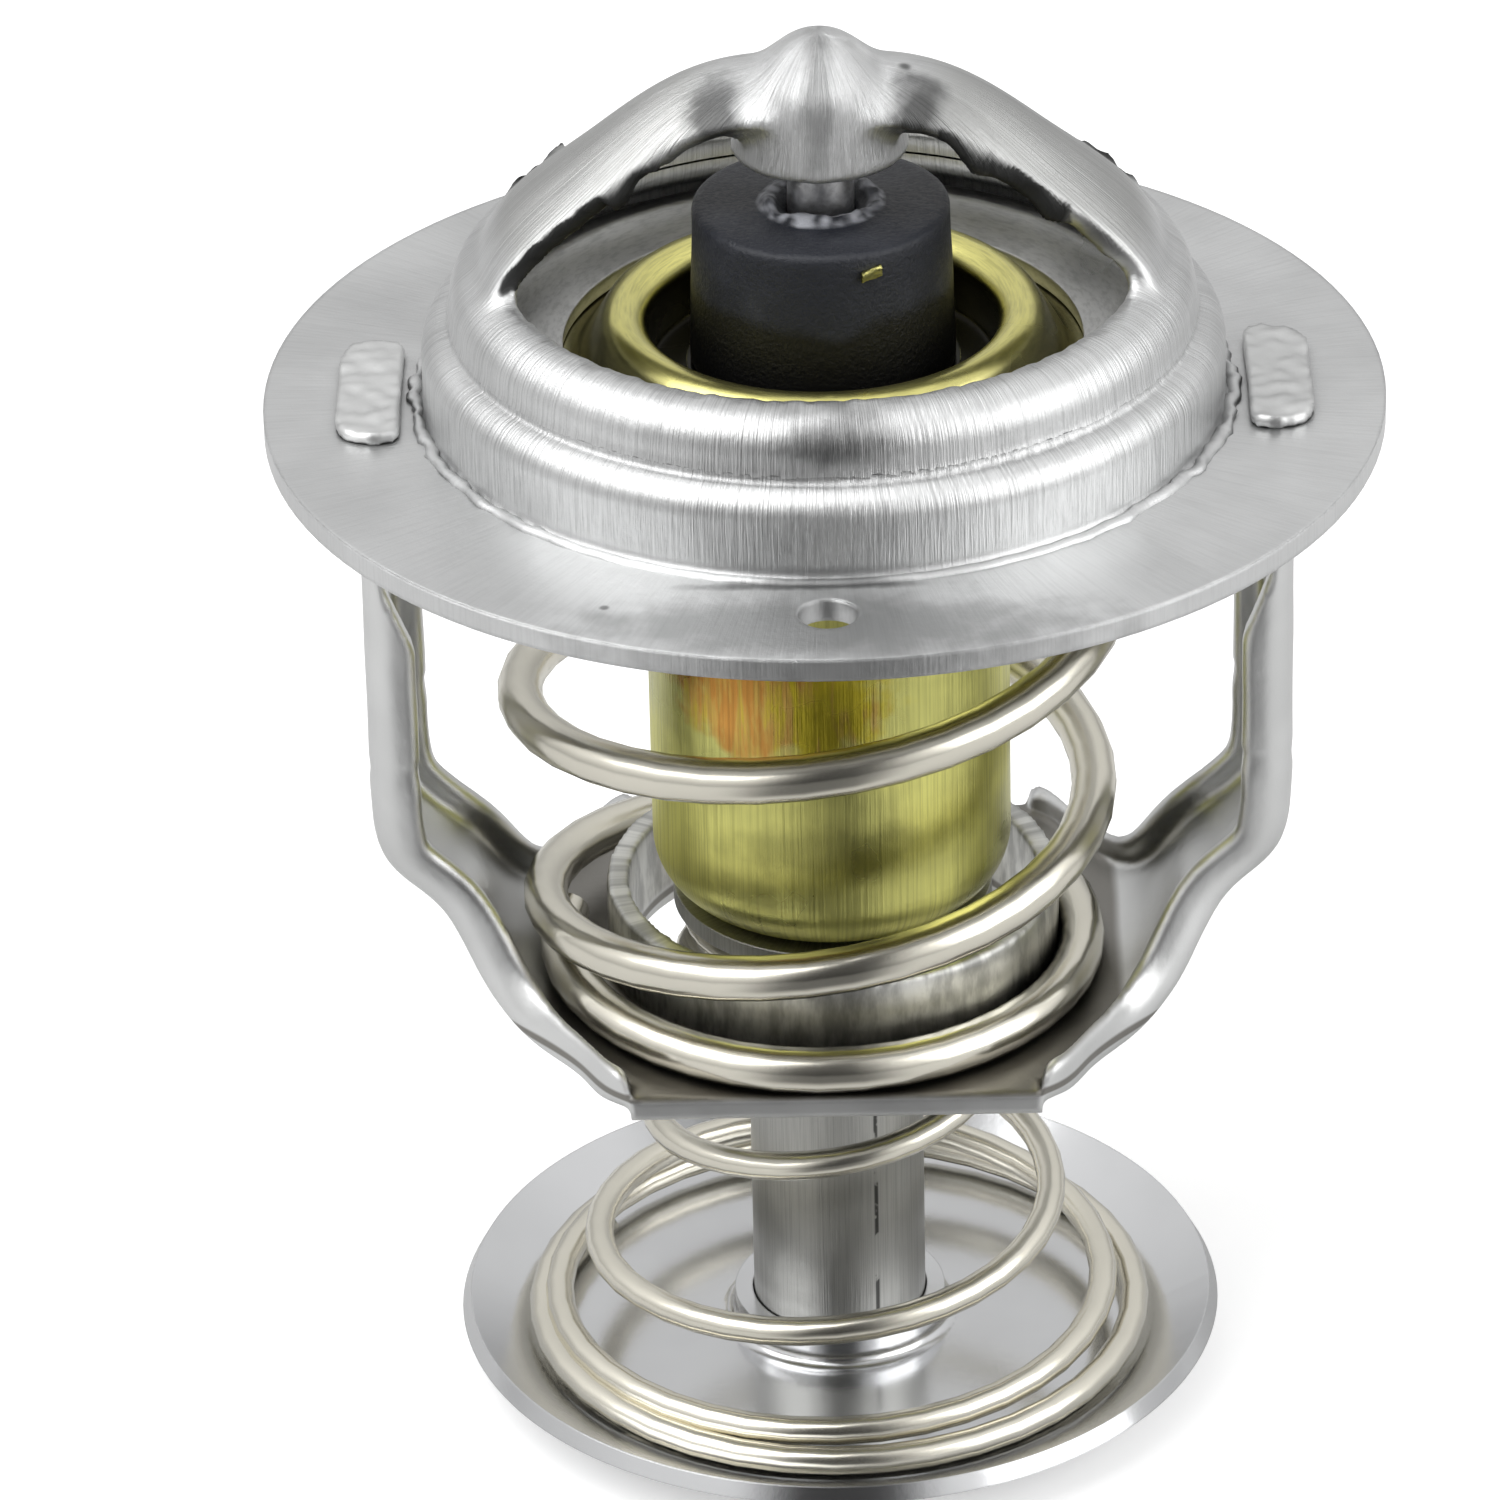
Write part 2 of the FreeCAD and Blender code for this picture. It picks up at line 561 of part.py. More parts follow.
def rubber_sleeve():
    """Rubber sleeve with a closed end that seals the wax from the piston."""
    bore = PISTON_R + SLIDE_GAP
    mouth = spigot_end_z() + BUSH_SPIGOT_HIGH - PRESS_GAP
    neck_r = BUSH_SPIGOT_R + PRESS_GAP
    ring_low = spigot_end_z() - 2 * PRESS_GAP - RING_HIGH
    end = -PISTON_LENGTH_BELOW - SLIDE_GAP
    return turned(rounded_outline([
        (neck_r, mouth), (neck_r, ring_low), (bore, ring_low), (bore, end), (0, end),
        (0, end - SLEEVE_WALL), (bore + SLEEVE_WALL, end - SLEEVE_WALL, SLEEVE_WALL),
        (bore + SLEEVE_WALL, ring_low - SLEEVE_WALL), (neck_r + SLEEVE_WALL, ring_low),
        (neck_r + SLEEVE_WALL, mouth)]))


def wax_charge():
    """Wax that fills the case round the sleeve."""
    wall = CASE_R - CASE_WALL - PRESS_GAP
    top = bush_flange_top_z() - BUSH_FLANGE_HIGH - PRESS_GAP
    low = CASE_BOTTOM_Z + CASE_WALL + PRESS_GAP
    ring_low = spigot_end_z() - 2 * PRESS_GAP - RING_HIGH
    end = -PISTON_LENGTH_BELOW - SLIDE_GAP - SLEEVE_WALL - PRESS_GAP
    sleeve_r = PISTON_R + SLIDE_GAP + SLEEVE_WALL + PRESS_GAP
    neck_r = BUSH_SPIGOT_R + SLEEVE_WALL + 2 * PRESS_GAP
    return turned(rounded_outline([
        (0, low), (wall, low, CASE_CORNER), (wall, top), (neck_r, top),
        (neck_r, ring_low - PRESS_GAP), (sleeve_r, ring_low - SLEEVE_WALL),
        (sleeve_r, end, SLEEVE_WALL), (0, end)]))


def rubber_cap():
    """Black rubber cap on the guide bush, with a lip that wipes the piston."""
    foot = VALVE_FOOT_Z + VALVE_SHEET + BUSH_COLLAR_HIGH + 2 * PRESS_GAP
    inside = BUSH_NECK_R + PRESS_GAP
    roof = BUSH_TOP_Z + PRESS_GAP
    hole = PISTON_R + SLIDE_GAP
    lip_top = CAP_TOP_Z + CAP_LIP_HIGH
    return turned(rounded_outline([
        (inside, foot), (CAP_FOOT_R, foot, EDGE_R / 2), (CAP_R, CAP_TOP_Z, CAP_EDGE),
        (CAP_LIP_R, CAP_TOP_Z), (CAP_LIP_R, lip_top, CAP_LIP_EDGE),
        (CAP_MOUTH_R, lip_top, CAP_LIP_EDGE),
        (hole, CAP_TOP_Z - CAP_EDGE), (hole, roof), (inside, roof)]))


def stem_flange_top_z():
    """Top of the stem's flange, against the case's bottom."""
    return CASE_BOTTOM_Z - PRESS_GAP


def bypass_stem():
    """Drawn steel tube under the case, its lower end spread into the dish's funnel."""
    top = stem_flange_top_z()
    flange = turned(sheet_outline([(0, top), (CASE_R - STEM_FLANGE_SET, top)], STEM_WALL))
    bend = DISH_COLLAR_BEND + DISH_SHEET + STEM_SLIDE_GAP
    angle = math.radians(STEM_FLARE_ANGLE)
    reach = bend * math.tan(angle / 2)
    corner_z = DISH_FLOOR_Z + DISH_COLLAR_BEND - reach
    wall = turned(sheet_outline([
        (STEM_R, top - STEM_WALL), (STEM_R, corner_z, bend),
        (STEM_R + reach * math.sin(angle), corner_z - reach * math.cos(angle))], STEM_WALL))
    return flange.fuse(wall)


def bypass_spring():
    """Conical spring from the stem's flange down to the dish's floor."""
    foot = DISH_FLOOR_Z + SEAT_CLEAR + BYPASS_WIRE_R
    head = stem_flange_top_z() - STEM_WALL - SEAT_CLEAR - BYPASS_WIRE_R
    turns = [BYPASS_TAIL, 0, 1, 2, 3, BYPASS_OPEN_END, BYPASS_END]
    heights = with_slopes(turns, [
        foot, foot, foot + BYPASS_SECOND_RISE, foot + BYPASS_THIRD_RISE,
        foot + BYPASS_FOURTH_RISE, head, head])
    radii = with_slopes(turns, [
        BYPASS_FOOT_R, BYPASS_FOOT_R, BYPASS_SECOND_R, BYPASS_THIRD_R, BYPASS_FOURTH_R,
        BYPASS_TOP_R, BYPASS_TOP_R])
    on_axis = with_slopes([BYPASS_TAIL, BYPASS_END], [0, 0])
    return coil(heights, radii, on_axis, BYPASS_WIRE_R, BYPASS_TAIL, BYPASS_END)


def bypass_valve():
    """Dished steel disc that slides on the stem and closes the bypass port."""
    bore = STEM_R + STEM_SLIDE_GAP
    return turned(sheet_outline([
        (DISH_R, DISH_RIM_Z), (DISH_FLOOR_R, DISH_FLOOR_Z, BEND),
        (bore + DISH_SHEET, DISH_FLOOR_Z, DISH_COLLAR_BEND),
        (bore + DISH_SHEET, DISH_FLOOR_Z + DISH_COLLAR_HIGH)][::-1], DISH_SHEET))


PIECES = [flange_bridge, seat_ring, lower_frame, piston, main_spring, main_valve, wax_case,
          wax_charge, guide_bush, backing_ring, rubber_sleeve, rubber_cap, bypass_stem,
          bypass_spring, bypass_valve]

os.makedirs("parts", exist_ok=True)
for make in PIECES:
    name = make.__name__
    shape = make().removeSplitter()
    if len(shape.Solids) == 1:
        shape = shape.Solids[0]
    if not shape.isValid() or len(shape.Solids) != 1:
        raise RuntimeError(name + ": not one valid solid")
    shape.exportStep("parts/" + name + ".step")
    box = shape.BoundBox
    print("%-14s %8.1f mm3  x %6.2f %6.2f  z %6.2f %6.2f" % (
        name, shape.Volume, box.XMin, box.XMax, box.ZMin, box.ZMax))
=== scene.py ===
# %% [markdown]
# # Engine thermostat
# A wax-element coolant valve stands on its bypass dish. Two things make it look real: satin
# pressed steel against bright wire and brass, and the small wear of a part that was punched,
# folded and brushed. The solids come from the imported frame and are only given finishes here.
# Pieces that bend when the valve moves, or that are torn or rough, are modelled in this file.

# %% Load the frame
import math

import bpy
from mathutils import Matrix, Vector, noise


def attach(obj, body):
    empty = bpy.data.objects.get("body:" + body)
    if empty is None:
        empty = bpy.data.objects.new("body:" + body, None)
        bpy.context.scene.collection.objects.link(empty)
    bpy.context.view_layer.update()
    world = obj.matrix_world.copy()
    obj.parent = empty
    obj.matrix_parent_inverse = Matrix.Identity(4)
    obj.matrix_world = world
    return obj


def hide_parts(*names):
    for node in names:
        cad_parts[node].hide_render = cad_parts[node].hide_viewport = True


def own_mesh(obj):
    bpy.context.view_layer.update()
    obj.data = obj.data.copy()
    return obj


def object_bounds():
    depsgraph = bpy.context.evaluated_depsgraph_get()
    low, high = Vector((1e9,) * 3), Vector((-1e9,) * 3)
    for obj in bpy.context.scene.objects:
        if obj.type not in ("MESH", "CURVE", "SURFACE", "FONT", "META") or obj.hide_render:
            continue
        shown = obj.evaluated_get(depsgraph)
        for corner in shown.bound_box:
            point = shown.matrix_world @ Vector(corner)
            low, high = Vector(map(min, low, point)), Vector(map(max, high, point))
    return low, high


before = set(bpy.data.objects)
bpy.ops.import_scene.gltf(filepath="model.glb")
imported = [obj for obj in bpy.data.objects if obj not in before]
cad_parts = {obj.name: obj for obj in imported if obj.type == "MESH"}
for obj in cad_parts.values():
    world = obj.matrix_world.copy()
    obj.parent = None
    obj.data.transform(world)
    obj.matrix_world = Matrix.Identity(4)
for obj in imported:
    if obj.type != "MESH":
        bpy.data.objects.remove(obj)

MM = 0.001
cad_low, cad_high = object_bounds()
print("solids:", len(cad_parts), "box", [round(v, 4) for v in (*cad_low, *cad_high)])

# %% [markdown]
# ## Camera
# The photograph was taken with a long lens from about 29 degrees above the flange, a little
# turned, so the right side stands slightly higher in the picture. The camera below has the same
# height, distance and field of view. It looks at a point left of the axis and below the flange,
# because the valve sits right of the picture's middle.

# %% Camera
LENS_DISTANCE = 0.450
LENS_ELEVATION = math.radians(28.94)
LENS_DOWN = math.radians(29.48)
LENS_LEFT = math.radians(0.576)
PICTURE_ROLL = math.radians(-1.3)
FOCAL_MM = 220.7
SENSOR_MM = 36.0
VALVE_MIDDLE = Vector((0, 0, -0.015))


def add_camera():
    """Camera at the photograph's height, distance and field of view."""
    back = Vector((0, -math.cos(LENS_ELEVATION), math.sin(LENS_ELEVATION)))
    bpy.ops.object.camera_add(location=VALVE_MIDDLE + back * LENS_DISTANCE)
    camera = bpy.context.object
    camera.name = "photo_camera"
    turn = (Matrix.Rotation(LENS_LEFT, 4, "Z") @ Matrix.Rotation(math.pi / 2 - LENS_DOWN, 4, "X")
            @ Matrix.Rotation(PICTURE_ROLL, 4, "Z"))
    camera.rotation_euler = turn.to_euler()
    camera.data.lens = FOCAL_MM
    camera.data.sensor_width = SENSOR_MM
    camera.data.clip_start = 0.01
    bpy.context.scene.camera = camera
    return camera


camera = add_camera()
print("camera at", [round(v, 4) for v in camera.location])

# %% [markdown]
# ## Node helpers
# A finish is a small tree of shader nodes. These helpers add a node or a sum in one line, so that
# each recipe below reads as a list of what happens on the surface.

# %% Shader helpers
def tree_of(owner):
    """Empties a material's or world's node tree and returns it."""
    owner.use_nodes = True
    owner.node_tree.nodes.clear()
    return owner.node_tree


def add(tree, kind, inputs=None, **settings):
    """Adds a node. Each input is given a constant, or is linked if it is given a socket."""
    made = tree.nodes.new(kind)
    for name, value in settings.items():
        setattr(made, name, value)
    for name, value in (inputs or {}).items():
        if isinstance(value, bpy.types.NodeSocket):
            tree.links.new(value, made.inputs[name])
        else:
            made.inputs[name].default_value = value
    return made


def maths(tree, operation, first, second=0.0):
    """Result of one sum on two values or sockets."""
    return add(tree, "ShaderNodeMath", {0: first, 1: second}, operation=operation).outputs[0]


def remap(tree, value, low, high, to_low, to_high):
    """Value that runs smoothly from to_low to to_high while the input runs from low to high."""
    return add(tree, "ShaderNodeMapRange", {
        "Value": value, "From Min": low, "From Max": high, "To Min": to_low,
        "To Max": to_high}, interpolation_type="SMOOTHSTEP").outputs[0]


def mix_colour(tree, share, first, second, blend="MIX"):
    """Colour between two colours or sockets."""
    return add(tree, "ShaderNodeMix", {0: share, 6: first, 7: second}, data_type="RGBA",
               blend_type=blend).outputs[2]


def mix_value(tree, share, first, second):
    """Value between two values or sockets."""
    return add(tree, "ShaderNodeMix", {0: share, 2: first, 3: second}).outputs[0]


# %% [markdown]
# ## Light
# Bright metal is a picture of its room. The real part stood in a white tent with a dark opening
# for the camera, which is why its edges run light and the faces turned to the lens go dark.
# The world is white to reflections, with one tall, soft, dark slot on the lens side, and two
# large soft lamps give the matt pieces their shape. The floor is greyer to reflections than to
# the lens, so that upright faces don't turn white.

# %% World, lamps and floor
FLOOR_Z = cad_low.z
WORLD_DIFFUSE = 0.66
FLOOR_LIFT = 0.42
DARK_SIDES = math.radians(12), math.radians(34)    # half width of the slot, core and outer edge
DARK_HEAD = 0.92, 0.995                            # heights where it ends, as sines
DARK_SHARE = 0.95


def slot_mask(tree, parts):
    """1 towards the lens side, 0 elsewhere, from the parts of a direction or a place."""
    front = maths(tree, "MULTIPLY", parts.outputs["Y"], -1.0)
    sideways = maths(tree, "ABSOLUTE", maths(tree, "ARCTAN2", parts.outputs["X"], front))
    return remap(tree, sideways, *DARK_SIDES, 1.0, 0.0)


def add_world():
    """White room: bright above, paler below, with a tall soft dark slot on the lens side."""
    world = bpy.data.worlds.new("white_tent")
    bpy.context.scene.world = world
    tree = tree_of(world)
    place = add(tree, "ShaderNodeTexCoord").outputs["Generated"]
    parts = add(tree, "ShaderNodeSeparateXYZ", {0: place})
    height = remap(tree, parts.outputs["Z"], -0.05, 0.45, 0.55, 1.0)
    behind = remap(tree, parts.outputs["Y"], 0.2, 0.9, 1.0, 0.75)
    slot = maths(tree, "MULTIPLY", slot_mask(tree, parts),
                 remap(tree, parts.outputs["Z"], *DARK_HEAD, DARK_SHARE, 0.0))
    opening = maths(tree, "SUBTRACT", 1.0, slot)
    room = maths(tree, "MULTIPLY", maths(tree, "MULTIPLY", opening, height), behind)
    white = (1, 1, 1, 1)
    plain = add(tree, "ShaderNodeBackground", {"Color": white, "Strength": WORLD_DIFFUSE})
    mirrored = add(tree, "ShaderNodeBackground", {"Color": white, "Strength": room})
    seen = add(tree, "ShaderNodeBackground", {"Color": white, "Strength": 1.0})
    paths = add(tree, "ShaderNodeLightPath")
    glossy = add(tree, "ShaderNodeMixShader", {
        0: paths.outputs["Is Glossy Ray"], 1: plain.outputs[0], 2: mirrored.outputs[0]})
    straight = maths(tree, "MAXIMUM", paths.outputs["Is Camera Ray"],
                     paths.outputs["Is Transmission Ray"])
    whole = add(tree, "ShaderNodeMixShader", {0: straight, 1: glossy.outputs[0],
                                              2: seen.outputs[0]})
    add(tree, "ShaderNodeOutputWorld", {"Surface": whole.outputs[0]})
    return world


def add_softbox(name, place, size, power):
    """Square soft lamp that faces the valve."""
    bpy.ops.object.light_add(type="AREA", location=place)
    lamp = bpy.context.object
    lamp.name = name
    lamp.data.shape = "SQUARE"
    lamp.data.size = size
    lamp.data.energy = power
    lamp.rotation_euler = (VALVE_MIDDLE - Vector(place)).to_track_quat("-Z", "Y").to_euler()
    return lamp


def add_floor():
    """White floor under the dish. It looks white to the lens and keeps the valve's shadow."""
    bpy.ops.mesh.primitive_plane_add(size=4.0, location=(0, 0, FLOOR_Z))
    floor = bpy.context.object
    floor.name = "floor"
    material = bpy.data.materials.new("floor_white")
    tree = tree_of(material)
    paths = add(tree, "ShaderNodeLightPath")
    parts = add(tree, "ShaderNodeSeparateXYZ", {
        0: add(tree, "ShaderNodeNewGeometry").outputs["Position"]})
    slot = maths(tree, "MULTIPLY", slot_mask(tree, parts),
                 remap(tree, parts.outputs["Y"], -0.05, -0.02, 1.0, 0.0))
    mirrored = mix_colour(tree, slot, (0.66, 0.66, 0.66, 1), (0.12, 0.12, 0.12, 1))
    colour = mix_colour(tree, paths.outputs["Is Glossy Ray"], (0.8, 0.8, 0.8, 1), mirrored)
    matt = add(tree, "ShaderNodeBsdfPrincipled", {
        "Base Color": colour, "Roughness": 0.9, "Specular IOR Level": 0.0})
    lift = add(tree, "ShaderNodeEmission", {
        "Strength": maths(tree, "MULTIPLY", paths.outputs["Is Camera Ray"], FLOOR_LIFT)})
    both = add(tree, "ShaderNodeAddShader", {0: matt.outputs[0], 1: lift.outputs[0]})
    add(tree, "ShaderNodeOutputMaterial", {"Surface": both.outputs[0]})
    floor.data.materials.append(material)
    return floor


add_world()
add_softbox("top_left_box", (-0.30, -0.15, 0.48), 0.55, 2.5)
add_softbox("right_box", (0.45, -0.20, 0.22), 0.45, 1.2)
add_floor()
bpy.context.scene.view_settings.view_transform = "Standard"
print("floor at", round(FLOOR_Z, 5))

# %% [markdown]
# ## Shared surface effects
# Pressed sheet shows where its tools slid: fine lines up a drawn wall and rings round a turned
# face. It is also a little mottled, its inner corners get painted shade, and its edges are
# rounded and rubbed bright. A patch is one soft spot, for a stain, a speck, a painted shadow or
# a painted reflection. Each effect is a node group that only gives values or a normal, so that
# every material can use it at its own strength.

# %% Node groups
def new_group(name, inputs, outputs):
    """Empty node group with its sockets. Returns the group and its input and output nodes."""
    group = bpy.data.node_groups.new(name, "ShaderNodeTree")
    for label, kind in inputs:
        group.interface.new_socket(label, in_out="INPUT", socket_type="NodeSocket" + kind)
    for label, kind in outputs:
        group.interface.new_socket(label, in_out="OUTPUT", socket_type="NodeSocket" + kind)
    return group, group.nodes.new("NodeGroupInput"), group.nodes.new("NodeGroupOutput")


def make_polar_grain():
    """Lines that run up the walls (Around high) or round the axis (Height and Radius high)."""
    group, given, result = new_group(
        "polar_grain", [("Place", "Vector"), ("Around", "Float"), ("Height", "Float"),
                        ("Radius", "Float")], [("Value", "Float")])
    parts = add(group, "ShaderNodeSeparateXYZ", {0: given.outputs["Place"]})
    flat = add(group, "ShaderNodeCombineXYZ", {0: parts.outputs[0], 1: parts.outputs[1]})
    radius = add(group, "ShaderNodeVectorMath", {0: flat.outputs[0]}, operation="LENGTH")
    unit = add(group, "ShaderNodeVectorMath", {0: flat.outputs[0]}, operation="NORMALIZE")
    turn = add(group, "ShaderNodeVectorMath", {
        0: unit.outputs[0], "Scale": given.outputs["Around"]}, operation="SCALE")
    level = maths(group, "ADD",
                  maths(group, "MULTIPLY", parts.outputs[2], given.outputs["Height"]),
                  maths(group, "MULTIPLY", radius.outputs["Value"], given.outputs["Radius"]))
    lift = add(group, "ShaderNodeCombineXYZ", {2: level})
    where = add(group, "ShaderNodeVectorMath", {0: turn.outputs[0], 1: lift.outputs[0]})
    noise_node = add(group, "ShaderNodeTexNoise", {
        "Vector": where.outputs[0], "Scale": 1.0, "Detail": 4.0, "Roughness": 0.6})
    group.links.new(noise_node.outputs[0], result.inputs["Value"])
    return group


def make_mottle():
    """Slow cloudy change and fine grain, both from 0 to 1."""
    group, given, result = new_group(
        "mottle", [("Place", "Vector"), ("Scale", "Float")],
        [("Cloud", "Float"), ("Grain", "Float")])
    cloud = add(group, "ShaderNodeTexNoise", {
        "Vector": given.outputs["Place"], "Scale": given.outputs["Scale"], "Detail": 3.0})
    fine = maths(group, "MULTIPLY", given.outputs["Scale"], 14.0)
    grain = add(group, "ShaderNodeTexNoise", {
        "Vector": given.outputs["Place"], "Scale": fine, "Detail": 5.0, "Roughness": 0.65})
    group.links.new(cloud.outputs[0], result.inputs["Cloud"])
    group.links.new(grain.outputs[0], result.inputs["Grain"])
    return group


def make_soft_edge():
    """Rounded normal at sharp edges, and a mask of the rubbed edge."""
    group, given, result = new_group(
        "soft_edge", [("Place", "Vector"), ("Width", "Float")],
        [("Normal", "Vector"), ("Mask", "Float")])
    rounded = add(group, "ShaderNodeBevel", {"Radius": given.outputs["Width"]}, samples=3)
    flat = add(group, "ShaderNodeNewGeometry")
    alike = add(group, "ShaderNodeVectorMath", {
        0: rounded.outputs[0], 1: flat.outputs["Normal"]}, operation="DOT_PRODUCT")
    edge = add(group, "ShaderNodeMapRange", {
        "Value": alike.outputs["Value"], "From Min": 0.96, "From Max": 0.75}).outputs[0]
    patchy = add(group, "ShaderNodeTexNoise", {
        "Vector": given.outputs["Place"], "Scale": 900.0, "Detail": 3.0})
    worn = remap(group, patchy.outputs[0], 0.35, 0.6, 0.0, 1.0)
    group.links.new(rounded.outputs[0], result.inputs["Normal"])
    group.links.new(maths(group, "MULTIPLY", edge, worn), result.inputs["Mask"])
    return group


def make_patch():
    """Soft-edged spot round a given centre, 1 inside and 0 outside, with a wavy outline."""
    group, given, result = new_group(
        "patch", [("Place", "Vector"), ("Centre", "Vector"), ("Stretch", "Vector"),
                  ("Size", "Float")], [("Mask", "Float")])
    offset = add(group, "ShaderNodeVectorMath", {
        0: given.outputs["Place"], 1: given.outputs["Centre"]}, operation="SUBTRACT")
    shaped = add(group, "ShaderNodeVectorMath", {
        0: offset.outputs[0], 1: given.outputs["Stretch"]}, operation="MULTIPLY")
    away = add(group, "ShaderNodeVectorMath", {0: shaped.outputs[0]}, operation="LENGTH")
    wave = add(group, "ShaderNodeTexNoise", {
        "Vector": given.outputs["Place"], "Scale": 500.0, "Detail": 3.0})
    pushed = maths(group, "ADD", away.outputs["Value"], maths(
        group, "MULTIPLY", maths(group, "SUBTRACT", wave.outputs[0], 0.5),
        given.outputs["Size"]))
    inside = add(group, "ShaderNodeMapRange", {
        "Value": pushed, "From Min": given.outputs["Size"], "From Max": 0.0}).outputs[0]
    group.links.new(inside, result.inputs["Mask"])
    return group


def make_crease():
    """Mask of tight inner corners, for painted shade: 1 in a corner, 0 in the open."""
    group, given, result = new_group("crease", [("Reach", "Float")], [("Mask", "Float")])
    open_sky = add(group, "ShaderNodeAmbientOcclusion", {"Distance": given.outputs["Reach"]},
                   samples=3)
    group.links.new(remap(group, open_sky.outputs["AO"], 0.30, 0.80, 1.0, 0.0),
                    result.inputs["Mask"])
    return group


GROUPS = {make.__name__[5:]: make() for make in (
    make_polar_grain, make_mottle, make_soft_edge, make_patch, make_crease)}
print("node groups:", ", ".join(GROUPS))


def use(tree, name, inputs):
    """Places a shared effect in a material."""
    made = tree.nodes.new("ShaderNodeGroup")
    made.node_tree = GROUPS[name]
    for label, value in inputs.items():
        if isinstance(value, bpy.types.NodeSocket):
            tree.links.new(value, made.inputs[label])
        else:
            made.inputs[label].default_value = value
    return made


# %% [markdown]
# ## Metals
# The sheet parts are one stainless steel with a different finish on each: satin on the flange,
# drawn lines up the dome's walls, duller strips on the bridge. All metals share one recipe: base
# colour, cloudy roughness, grain as bump, painted shade in inner corners and edges rubbed
# brighter.
# Lines are given as their number round, up and out, their strength and the height they start at.

# %% Metal recipe
def metal(name, colour, rough, cloud=0.10, grain=0.10, bump=0.010, lines=None, edge=0.15,
          darken=(), tint=None, scale=110.0, shade_corners=False):
    """Metal with cloudy roughness, grain, optional lines, dark spots, painted corner shade and
    rubbed edges.
    """
    material = bpy.data.materials.new(name)
    tree = tree_of(material)
    place = add(tree, "ShaderNodeTexCoord").outputs["Object"]
    uneven = use(tree, "mottle", {"Place": place, "Scale": scale})
    height = maths(tree, "MULTIPLY", uneven.outputs["Grain"], grain)
    shade = remap(tree, uneven.outputs["Cloud"], 0.3, 0.7, 1.0 - cloud, 1.0)
    roughness = maths(tree, "ADD", rough, maths(
        tree, "MULTIPLY", maths(tree, "SUBTRACT", uneven.outputs["Cloud"], 0.5), cloud * 1.5))
    if lines:
        around, up, out, strength, lowest = lines
        drawn = use(tree, "polar_grain", {
            "Place": place, "Around": around, "Height": up, "Radius": out})
        level = add(tree, "ShaderNodeSeparateXYZ", {0: place}).outputs["Z"]
        wall = remap(tree, level, (lowest - 0.3) * MM, (lowest + 0.3) * MM, 0.3, 1.0)
        height = maths(tree, "ADD", height, maths(
            tree, "MULTIPLY", drawn.outputs["Value"], maths(tree, "MULTIPLY", wall, strength)))
        shade = maths(tree, "MULTIPLY", shade, remap(
            tree, drawn.outputs["Value"], 0.3, 0.6, maths(
                tree, "SUBTRACT", 1.0, maths(tree, "MULTIPLY", wall, 0.22)), 1.0))
    # painted shade: inner corners are darkened where ambient occlusion finds them
    if shade_corners:
        corner = use(tree, "crease", {"Reach": 0.9 * MM})
        shade = maths(tree, "MULTIPLY", shade,
                      remap(tree, corner.outputs["Mask"], 0.0, 1.0, 1.0, 0.45))
    for centre, stretch, size, amount in darken:
        spot = use(tree, "patch", {
            "Place": place, "Centre": [c * MM for c in centre], "Stretch": stretch,
            "Size": size * MM})
        shade = maths(tree, "MULTIPLY", shade,
                      remap(tree, spot.outputs["Mask"], 0.0, 0.7, 1.0, 1.0 - amount))
    torn = add(tree, "ShaderNodeAttribute", attribute_name="torn").outputs["Fac"]
    shade = maths(tree, "MULTIPLY", shade, remap(tree, torn, 0.1, 0.9, 1.0, 0.10))
    roughness = maths(tree, "ADD", roughness, maths(tree, "MULTIPLY", torn, 0.25))
    base = add(tree, "ShaderNodeRGB").outputs[0]
    base.default_value = (*colour, 1)
    if tint:
        base = tint(tree, place, base)
    grey = add(tree, "ShaderNodeCombineColor", {0: shade, 1: shade, 2: shade}).outputs[0]
    base = mix_colour(tree, 1.0, base, grey, "MULTIPLY")
    relief = add(tree, "ShaderNodeBump", {
        "Strength": 1.0, "Distance": bump * MM, "Height": height})
    if edge:
        soft = use(tree, "soft_edge", {"Place": place, "Width": edge * MM})
        bright = tuple(min(1.0, c * 1.25) for c in colour)
        rubbed = maths(tree, "MULTIPLY", soft.outputs["Mask"], maths(
            tree, "MULTIPLY", maths(tree, "SUBTRACT", 1.0, torn), 0.6))
        base = mix_colour(tree, rubbed, base, (*bright, 1))
        tree.links.new(soft.outputs["Normal"], relief.inputs["Normal"])
    shader = add(tree, "ShaderNodeBsdfPrincipled", {
        "Base Color": base, "Metallic": 1.0, "Roughness": roughness,
        "Normal": relief.outputs[0]})
    shader.inputs["Base Color"].default_value = (*colour, 1)
    shader.inputs["Roughness"].default_value = rough
    add(tree, "ShaderNodeOutputMaterial", {"Surface": shader.outputs[0]})
    return material


def dress(node, material):
    """Gives a CAD node its material."""
    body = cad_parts[node]
    body.data.materials.clear()
    body.data.materials.append(material)
